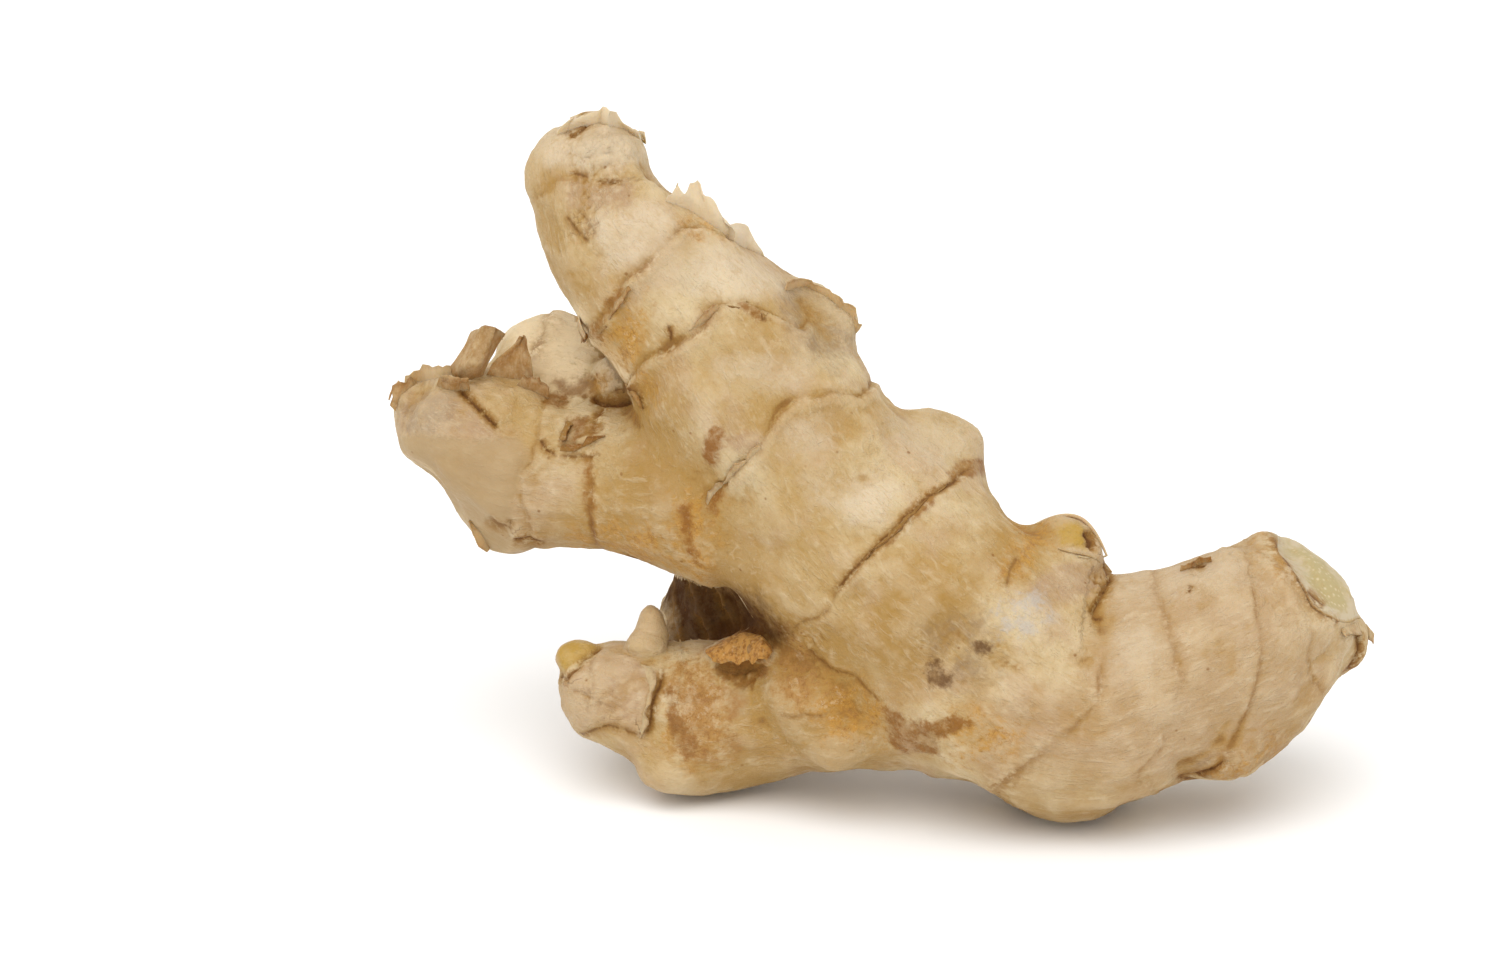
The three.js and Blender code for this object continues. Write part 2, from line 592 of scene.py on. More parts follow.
FINGERS = (
    Finger("trunk", ((-42.2, 47, 102.4, 4.4, 4.2), (-43.2, 46, 98.4, 8.8, 8.6),
        (-43.2, 44, 91.2, 10.8, 10.6), (-41.0, 41.5, 86.2, 12.0, 11.8), (-35.8, 39, 81.2, 14.0, 13.6),
        (-27.0, 35, 72.0, 15.4, 15.0), (-19.0, 31, 61.0, 17.3, 17.0), (-8.6, 27, 46.9, 19.2, 18.4),
        (3.2, 23, 35.7, 20.4, 19.0), (15.6, 19.5, 25.1, 21.3, 19.4), (28.5, 16.5, 18.0, 19.2, 19.0),
        (40.7, 17, 20.6, 17.2, 17.1), (50.6, 20, 22.9, 17.0, 16.5), (58.4, 23, 25.6, 16.9, 16.4),
        (65.4, 25, 29.8, 13.6, 13.4), (70.8, 26, 31.2, 7.4, 7.2)), rings=(
        Ring((584, 136, 606, 137, 628, 136), ink=0.12, lip=0.1, side=-1),
        Ring((531, 205, 541, 190, 560, 177, 597, 180, 622, 182, 668, 196), ink=0.15, lip=0.15, side=-1),
        Ring((592, 330, 610, 312, 622, 284, 643, 269, 663, 246, 679, 230, 705, 228, 730, 241, 755, 248),
            ink=0.45, lip=0.4, side=-1),
        Ring((643, 360, 679, 343, 700, 332, 719, 303, 745, 302, 757, 309, 775, 316, 800, 330), ink=0.4,
            lip=0.5, side=-1),
        Ring((706, 508, 717, 492, 737, 472, 760, 449, 778, 412, 795, 401, 823, 397, 857, 401), ink=0.35,
            lip=0.55, side=-1),
        Ring((1092, 616, 1104, 645, 1100, 670, 1095, 701, 1072, 730, 1050, 747, 1000, 782), ink=0.3,
            lip=0.15),
        Ring((1153, 574, 1155, 594, 1164, 616, 1175, 645, 1179, 679, 1175, 712, 1159, 748, 1135, 768),
            ink=0.28, lip=0.15),
        Ring((1240, 549, 1249, 567, 1251, 589, 1255, 612, 1258, 645, 1256, 670, 1251, 696, 1242, 728,
            1226, 759), ink=0.45, lip=0.15),
        Ring((1273, 562, 1291, 587, 1307, 614, 1312, 634, 1310, 654, 1314, 676), ink=0.2, lip=0.15),
    )),
    Finger("left_finger", ((-14.0, 28.5, 44.6, 17.0, 16.0), (-21.5, 31, 47.4, 16.2, 15.0),
        (-29.2, 34, 47.2, 14.4, 13.6), (-37.0, 38, 46.3, 12.8, 12.4), (-47.9, 41, 46.3, 12.3, 11.9),
        (-58.1, 43, 47.5, 14.2, 13.1), (-66.8, 45, 51.4, 12.0, 10.8), (-73.2, 46, 53.6, 7.4, 6.6)), rings=(
        Ring((590, 458, 591, 480, 590, 508, 594, 535), ink=1.0, lip=0.15),
        Ring((532, 462, 519, 482, 521, 500, 530, 530), ink=0.2, lip=0.2),
    )),
    Finger("upper_lobe", ((-29.3, 40, 51.9, 7.7, 7.7), (-37.1, 47, 53.8, 10.0, 9.6),
        (-46.6, 53, 55.6, 11.6, 11.0), (-54.4, 56, 56.2, 10.2, 9.8), (-60.6, 57, 55.6, 7.0, 6.8)), rings=(
        Ring(at=12.0, ink=0.4),
        Ring(at=27.0, ink=0.5),
    )),
    Finger("low_finger", ((2.0, 19, 18.2, 16.0, 15.0), (-9.8, 23, 15.4, 11.8, 11.4),
        (-21.5, 25, 12.9, 11.2, 11.2), (-30.8, 26, 11.3, 11.9, 11.9), (-38.5, 26, 13.6, 9.8, 9.8),
        (-45.5, 26, 15.9, 7.8, 7.8), (-49.2, 26, 16.4, 5.0, 5.2))),
    Finger("back_finger", ((-5.0, 28, 38.0, 13.0, 14.0), (-15.6, 42, 26.8, 12.8, 13.2),
        (-22.4, 52, 15.4, 12.6, 12.6), (-25.6, 58, -3.6, 9.6, 10.0)), facing=Facing.TO_SIDE,
        rings=tuple(Ring(at=place, ink=0.5, lip=0.4) for place in (12.0, 19.5, 26.0, 33.0, 39.0, 46.0))),
    Finger("shoulder_knob", ((-18.5, 33, 61.5, 8.6, 8.2), (-9.8, 34, 70.0, 8.0, 7.6),
        (-5.2, 35, 73.4, 5.6, 5.4))),
    Finger("crease_knob", ((-1.0, 27, 46.0, 9.6, 9.2), (8.2, 29, 54.4, 8.2, 7.6),
        (11.4, 29, 57.0, 5.6, 5.2))),
    Finger("bud", ((22.7, 19, 27.0, 10.0, 9.1), (28.1, 22, 38.1, 7.6, 6.7), (29.9, 23, 41.6, 5.0, 4.4))),
    Finger("end_heel", ((46.1, 22, 15.9, 9.6, 9.2), (52.2, 24, 9.8, 7.8, 7.6), (56.0, 24, 6.8, 5.2, 5.0))),
    Finger("end_nub", ((64.0, 24, 25.4, 7.4, 7.0), (72.0, 25, 23.8, 4.6, 4.4), (75.4, 25, 23.2, 2.4, 2.4))),
)

# The root's outline in the picture, with the outside on the left of each line as it runs.
OUTLINES: tuple[Numbers, ...] = (
    (562, 291, 556, 281, 549, 269, 539, 233, 533, 213, 528, 199, 523, 170, 526, 156, 546, 133, 562, 126,
     575, 119, 589, 112, 604, 114, 619, 123, 635, 130, 643, 137, 642, 145, 649, 163, 661, 180, 672, 198,
     690, 203, 703, 212, 715, 221, 728, 231, 740, 239, 753, 247, 765, 256, 778, 265, 795, 277, 811, 279,
     828, 289, 844, 302, 858, 313, 858, 329, 855, 342, 864, 365, 877, 379, 884, 396, 906, 407, 932, 409,
     962, 416, 976, 427, 983, 438, 984, 464, 989, 489, 1004, 514, 1021, 525, 1049, 520, 1069, 513,
     1080, 519, 1097, 534, 1103, 553, 1109, 574, 1125, 571, 1162, 569, 1178, 561, 1205, 556, 1215, 548,
     1238, 544, 1251, 537, 1262, 531, 1285, 537, 1311, 549, 1338, 572, 1351, 589, 1358, 612, 1369, 630,
     1371, 645, 1358, 665, 1344, 674, 1324, 692, 1314, 715, 1295, 738, 1265, 765, 1245, 779, 1225, 781,
     1198, 778, 1165, 788, 1125, 805, 1092, 819, 1066, 823, 1039, 818, 1013, 808, 989, 791, 966, 781,
     940, 778, 920, 776, 907, 771, 880, 770, 855, 769, 818, 772, 792, 777, 759, 786, 726, 792, 692, 796,
     666, 793, 646, 786, 638, 776, 634, 765, 613, 752, 593, 741, 578, 734, 563, 716, 561, 693, 556, 665,
     558, 645, 572, 640, 600, 643, 622, 641),
    (690, 581, 672, 573, 649, 564, 625, 554, 592, 549, 570, 549, 546, 549, 513, 554, 496, 552, 483, 546,
     470, 528, 455, 510, 446, 490, 433, 479, 413, 463, 398, 446, 394, 425, 392, 405, 396, 392, 405, 382,
     420, 374, 450, 369, 470, 366),
    (506, 333, 523, 319, 541, 313, 549, 312),
)

KNOBS = (
    Knob((668, 764), 6.0, (6.5, 5.0, 7.0)),
    Knob((578, 655), 2.0, (3.6, 2.8, 3.2)),
    Knob((611, 375), 0.8, (3.0, 3.3, 3.2)),
    Knob((404, 392), 1.0, (2.2, 1.8, 2.6)),
    Knob((1222, 752), 4.0, (6.5, 4.2, 6.0)),
    Knob((1072, 536), 2.0, (2.6, 2.4, 2.4)),
    Knob((840, 325), 4.0, (3.4, 3.2, 5.0)),
    Knob((810, 300), 4.0, (4.0, 2.6, 5.0)),
    Knob((416, 400), 4.0, (3.6, 3.4, 6.0)),
    Knob((716, 664), 1.2, (2.0, 1.5, 3.0), 1.4),
    Knob((728, 664), 1.4, (2.3, 1.8, 3.4), 2.2),
    Knob((742, 664), 1.4, (2.6, 2.2, 3.6), 2.5),
    Knob((756, 664), 1.4, (2.2, 1.9, 3.4), 2.2),
    Knob((768, 664), 1.2, (1.8, 1.5, 3.0), 1.6),
    Knob((652, 664), 2.6, (1.8, 3.8, 2.1), 5.2),
    Knob((646, 664), 2.4, (2.4, 2.4, 2.4), 2.8),
    Knob((458, 376), 1.0, (3.0, 2.0, 2.2)),
    Knob((785, 655), 4.0, (7.0, 6.0, 8.0)),
    Knob((815, 695), 6.0, (9.0, 8.0, 9.0)),
    Knob((850, 735), 4.0, (8.0, 6.0, 8.0)),
    Knob((880, 748), 5.0, (7.0, 4.5, 8.0)),
)

FLAPS = (
    # The torn cap of the upper finger.
    Flap((556, 137, 575, 130, 600, 124, 625, 130, 646, 144), ((558, 130, 0.3, 578, 119, 0.8, 601, 113, 0.5,
         622, 123, 0.5, 645, 137, 0.4), (562, 126, 0.5, 582, 112, 1.0, 602, 109, 0.6, 621, 120, 0.5,
         644, 133, 0.4)), sunk=0.6, ragged=0.45, tint=-1.0),
    Flap((570, 118, 584, 112, 602, 111), ((572, 124, 0.7, 586, 119, 0.9, 602, 114, 0.6), (573, 129, 0.7,
         588, 124, 0.9, 604, 116, 0.5)), tint=0.45),
    Flap((624, 124, 634, 130, 645, 139), ((622, 128, 0.5, 631, 134, 0.7, 641, 143, 0.5),), sunk=0.4),
    # The thin paper along the upper finger's right side.
    Flap((664, 204, 690, 212, 712, 228, 735, 244, 765, 258), ((668, 196, 0.2, 690, 198, 0.2, 710, 212, 0.2,
         734, 231, 0.2, 762, 252, 0.2), (670, 196, 0.6, 678, 185, 0.6, 684, 196, 0.5, 690, 186, 0.5,
         697, 180, 0.5, 703, 196, 0.5, 713, 200, 0.6, 719, 213, 0.5, 728, 225, 0.4, 738, 222, 0.4,
         747, 226, 0.4, 757, 244, 0.4)), sunk=0.8, ragged=0.25, tint=-1.0),
    # The torn edge round the shoulder.
    Flap((784, 292, 806, 288, 829, 301, 850, 318, 855, 334), ((789, 281, 0.4, 807, 277, 0.6, 832, 290, 0.5,
         856, 309, 0.6, 860, 328, 0.4),), sunk=0.8, ragged=0.35, tint=0.2),
    # The two standing folds on the left finger.
    Flap((444, 374, 455, 380, 470, 382, 482, 378), ((458, 358, 0.6, 464, 364, 2.4, 476, 368, 2.0,
         488, 362, 0.2), (466, 345, 0.4, 473, 350, 2.6, 485, 354, 2.0, 495, 350, 0.2), (472, 333, 0.6,
         482, 327, 2.4, 494, 328, 2.6, 504, 333, 0.4), (474, 336, -0.6, 483, 331, 0.2, 494, 332, 0.4,
         502, 337, -0.4)), sunk=0.8, ragged=0.35, tint=0.55),
    Flap((486, 376, 502, 380, 518, 382, 534, 388), ((494, 362, 1.6, 507, 361, 0.2, 520, 362, 0.2,
         531, 366, 1.2), (512, 346, 1.8, 517, 347, 0.8, 522, 347, 0.8, 527, 349, 1.6), (521, 337, 1.4,
         523, 336, 1.0, 525, 336, 1.0, 527, 339, 1.4)), sunk=0.8, ragged=0.3, tint=0.6),
    Flap((516, 386, 532, 392, 548, 400), ((524, 375, 1.6, 536, 381, 1.8, 549, 390, 1.0),), sunk=0.5,
         ragged=0.5, tint=0.55),
    Flap((436, 388, 452, 392, 470, 392), ((440, 376, 1.4, 453, 379, 2.0, 468, 379, 1.4), (442, 381, 2.0,
         453, 385, 2.4, 466, 385, 1.8)), sunk=0.5, tint=0.65),
    # Torn bits at the left finger's tip.
    Flap((396, 412, 403, 396, 418, 384), ((389, 404, 0.6, 395, 388, 0.8, 412, 378, 0.6),), sunk=0.5,
         ragged=0.6, tint=0.5),
    Flap((404, 386, 430, 380, 452, 376), ((406, 374, 0.5, 430, 367, 0.8, 450, 366, 0.5),), sunk=0.4,
         tint=0.1),
    Flap((470, 520, 482, 534, 490, 548), ((466, 523, 0.3, 477, 540, 0.4, 486, 552, 0.3),), sunk=0.4,
         ragged=0.35, tint=0.1),
    # Brown flakes on the left finger.
    Flap((540, 398, 556, 392, 572, 398), ((545, 407, 1.2, 557, 405, 1.7, 569, 406, 1.1),), ragged=0.6,
         tint=0.85),
    Flap((558, 438, 566, 420, 582, 415, 600, 420), ((564, 442, 0.9, 572, 431, 1.3, 586, 427, 1.2,
         600, 430, 0.6),), ragged=0.8, tint=1.0),
    Flap((560, 452, 574, 452, 590, 444, 606, 436), ((560, 446, 0.5, 574, 446, 1.0, 588, 440, 1.1,
         602, 433, 0.5),), ragged=0.7, tint=0.85),
    # Lifted scales on the trunk's rings.
    Flap((688, 334, 702, 326, 720, 308), ((690, 326, 0.9, 701, 315, 1.2, 716, 303, 0.8),), ragged=0.6,
         tint=0.45),
    Flap((722, 303, 745, 299, 768, 314), ((722, 308, 0.7, 745, 305, 0.9, 764, 318, 0.7),), ragged=0.5,
         tint=0.75),
    Flap((592, 336, 606, 314, 628, 284), ((598, 336, 0.6, 611, 317, 0.8, 630, 289, 0.6),), ragged=0.5,
         tint=0.7),
    Flap((700, 462, 702, 448, 711, 430), ((711, 467, 0.4, 715, 450, 0.6, 719, 427, 0.4),), tint=0.75),
    Flap((708, 506, 718, 491, 738, 471, 762, 449), ((706, 502, 0.4, 715, 487, 0.6, 735, 467, 0.5,
         759, 445, 0.4),), ragged=0.5, tint=0.3),
    Flap((862, 560, 882, 540, 902, 520, 930, 496, 950, 482), ((865, 560, 0.2, 885, 542, 0.6, 905, 521, 0.7,
         929, 499, 0.3, 950, 484, 0.2),), ragged=0.3, tint=1.0),
    Flap((884, 710, 888, 726, 898, 742, 910, 752), ((889, 708, 0.5, 894, 724, 0.6, 904, 739, 0.6,
         914, 749, 0.5),), sunk=0.2, ragged=0.5, tint=1.0),
    # The crumbly join of the right finger, and the scale on its nub.
    Flap((1100, 556, 1112, 572, 1100, 598, 1092, 616), ((1093, 558, 0.5, 1104, 574, 0.8, 1093, 598, 0.8,
         1087, 614, 0.5),), ragged=0.8, tint=0.75),
    Flap((1340, 628, 1352, 622, 1366, 624, 1374, 634), ((1347, 636, 0.4, 1357, 634, 0.5, 1365, 637, 0.5,
         1372, 645, 0.3),), sunk=0.5, ragged=0.35),
    Flap((1180, 572, 1196, 567, 1212, 562), ((1181, 566, 0.4, 1196, 560, 0.5, 1211, 556, 0.4),), tint=0.6),
    # The crust of the crumbly knob on the low finger.
    Flap((706, 664, 724, 664, 742, 664, 758, 664, 776, 664), ((706, 651, -1.4, 722, 641, -1.2,
         740, 634, -1.2, 760, 636, -1.2, 772, 648, -1.4), (707, 655, 1.0, 723, 647, 1.8, 741, 641, 2.2,
         759, 643, 2.0, 771, 652, 1.0), (711, 659, 1.6, 726, 656, 2.6, 742, 656, 3.0, 757, 655, 2.8,
         768, 656, 1.6), (714, 663, 1.4, 727, 661, 2.4, 742, 664, 2.8, 756, 661, 2.5, 766, 659, 1.4)),
         sunk=0.8, ragged=0.28, tint=2.0),
    # The torn right edge of the low finger's pale scale.
    Flap((640, 664, 648, 690, 640, 716, 634, 738), ((656, 670, 0.4, 654, 694, 0.5, 649, 718, 0.5,
         642, 738, 0.3),), ragged=0.35, tint=0.3),
)

STRANDS = (
    Strand((1036, 524, 0.4, 1052, 516, 1.2, 1074, 513, 1.5, 1090, 524, 1.4, 1100, 540, 0.9, 1107, 556, 0.3),
           thickness=0.55),
    Strand((1078, 556, 0.3, 1092, 560, 0.8, 1106, 556, 0.3)),
    Strand((1058, 548, 0.3, 1072, 554, 0.6, 1088, 552, 0.6, 1100, 562, 0.2), thickness=0.4, tint=0.5),
    Strand((676, 204, 0.2, 674, 192, 0.4, 678, 183, 0.6), thickness=0.3, tint=0.4),
    Strand((626, 384, 0.3, 632, 390, 1.0, 638, 398, 1.0, 642, 409, 0.2), thickness=0.8, tint=0.75),
    Strand((389, 400, 0.2, 391, 390, 0.8, 399, 381, 0.9), thickness=0.4, tint=0.7),
)

REMNANTS = (
    Remnant(0, 14.0, 60, 70),
    Remnant(0, 24.0, 110, 90, 3.5, 1.1, 0.3),
    Remnant(0, 38.0, 20, 80, 3.0, 0.8, 0.6),
    Remnant(0, 52.0, 90, 110, 3.5, 1.0, 0.4),
    Remnant(0, 70.0, 40, 60, -3.0, 0.8, 0.5),
    Remnant(0, 92.0, 100, 80, 3.0, 0.9, 0.5),
    Remnant(0, 108.0, 60, 90, -3.0, 1.0, 0.35),
    Remnant(0, 124.0, 110, 70, -2.5, 0.9, 0.6),
    Remnant(1, 34.0, 50, 110, 3.0, 1.0, 0.5),
    Remnant(1, 48.0, 80, 70, 3.0, 0.9, 0.4),
    Remnant(2, 22.0, 40, 100, 2.5, 0.8, 0.4),
    Remnant(3, 26.0, 70, 80, 2.5, 0.8, 0.5),
    Remnant(4, 26.0, -60, 90, 2.5, 0.8, 0.8),
    Remnant(4, 33.0, 60, 90, 2.5, 0.8, 0.7),
)

TRACES = (
    # The deep crease across the trunk.
    Trace((981, 466, 964, 471, 952, 484, 938, 492, 926, 497, 915, 510, 904, 517, 898, 528, 881, 541,
          872, 553, 864, 558, 856, 568, 849, 575, 843, 584, 836, 589, 832, 607), ink=0.75, lip=0.4,
          width=0.6),
    Trace((832, 607, 818, 617, 806, 620, 790, 630), ink=0.3, groove=0.2, lip=0.1),
    # The dark join of the trunk and the right finger.
    Trace((1105, 560, 1106, 569, 1110, 583, 1101, 596, 1095, 607, 1092, 616), ink=1.0, groove=0.9,
          lip=-0.3),
    Trace((1092, 616, 1104, 618), ink=0.9, groove=0.4, width=0.5),
    # The scale's edge on the left finger.
    Trace((459, 386, 463, 393, 480, 409, 499, 426), ink=1.0, groove=0.7, lip=0.4),
    # Under the lobe's bud.
    Trace((590, 396, 603, 401, 620, 401, 634, 396), ink=1.3, groove=1.2, width=0.9),
    Trace((628, 384, 636, 396, 643, 410), ink=0.9, groove=-0.7, width=0.6),
    # Short dark cracks.
    Trace((666, 325, 669, 333, 667, 341), ink=0.9, width=0.4),
    Trace((564, 172, 575, 172, 587, 175), ink=0.6, groove=0.12, lip=0.15, width=0.5),
    Trace((594, 178, 608, 181, 624, 180), ink=0.65, groove=0.15, lip=0.2, width=0.5),
    Trace((561, 214, 571, 228, 588, 243), ink=0.5, groove=0.15, lip=0.12, width=0.5),
    Trace((572, 207, 586, 220, 597, 236), ink=0.25, groove=0.12, lip=0.1, width=0.5),
    Trace((575, 238, 590, 226, 600, 222), ink=0.2, groove=0.1, lip=0.1, width=0.5),
    Trace((562, 130, 574, 131, 585, 125, 597, 114), lip=0.15, width=0.5),
    Trace((540, 438, 546, 448, 556, 455), ink=0.8, lip=0.2, width=0.4),
    Trace((558, 455, 575, 456, 592, 457, 604, 456), ink=0.5, groove=0.2, lip=0.2, width=0.4),
    Trace((510, 545, 530, 544, 545, 547), ink=0.9, groove=0.5, lip=0.2, width=0.5),
    Trace((484, 520, 492, 530, 506, 534, 512, 524), ink=0.5, groove=0.6, width=0.9),
    # Round the low finger's torn scale.
    Trace((664, 668, 660, 683, 653, 699, 647, 729, 642, 738), ink=0.8, groove=0.5),
    Trace((570, 726, 580, 734, 609, 726, 641, 737), ink=0.5, width=0.5),
    Trace((599, 652, 590, 668, 594, 684, 586, 700, 590, 716), ink=0.12, groove=0.2, lip=0.2, width=0.8),
    Trace((568, 690, 584, 692, 600, 704, 620, 708), ink=0.1, groove=0.2, lip=0.2, width=0.8),
    Trace((556, 674, 567, 680, 586, 660, 604, 646), groove=0.5, width=0.6),
    Trace((778, 714, 792, 717, 806, 714, 826, 716), ink=0.25, groove=0.15, lip=0.1, width=0.4),
    # A brown line along the crumbly knob's lower edge: painted shade.
    Trace((709, 664, 722, 670, 738, 673, 752, 671, 766, 664), ink=0.4, width=1.3),
    Trace((803, 648, 818, 662, 832, 672, 850, 678, 862, 690, 884, 704), ink=0.4, groove=0.2, lip=0.15,
          width=0.6),
    # The join of the end's heel, and the scale on its nub.
    Trace((1176, 781, 1197, 777, 1215, 770, 1228, 760), ink=1.0, groove=0.7, width=0.6),
    Trace((1345, 626, 1356, 629, 1361, 638, 1360, 654, 1347, 670, 1340, 677), ink=1.0, groove=0.6, lip=0.2,
          width=0.6),
    Trace((1306, 590, 1314, 597, 1325, 607), groove=0.35, width=0.4),
    Trace((1262, 533, 1276, 552, 1288, 567, 1301, 589, 1311, 607, 1320, 616, 1333, 622, 1345, 623),
          ink=0.45, groove=-0.35, width=0.6),
    Trace((1188, 568, 1206, 568), ink=0.8, width=0.5),
    Trace((1189, 589, 1190, 598), ink=0.9, groove=0.2, width=0.3),
    # The hole beside the yellow bud, its dark inside painted shade, and the folds beside it.
    Trace((1084, 531, 1091, 536, 1093, 544, 1086, 550), ink=1.3, groove=0.9, width=0.9),
    Trace((1004, 590, 1010, 570, 1018, 555), ink=0.4, width=0.8),
)

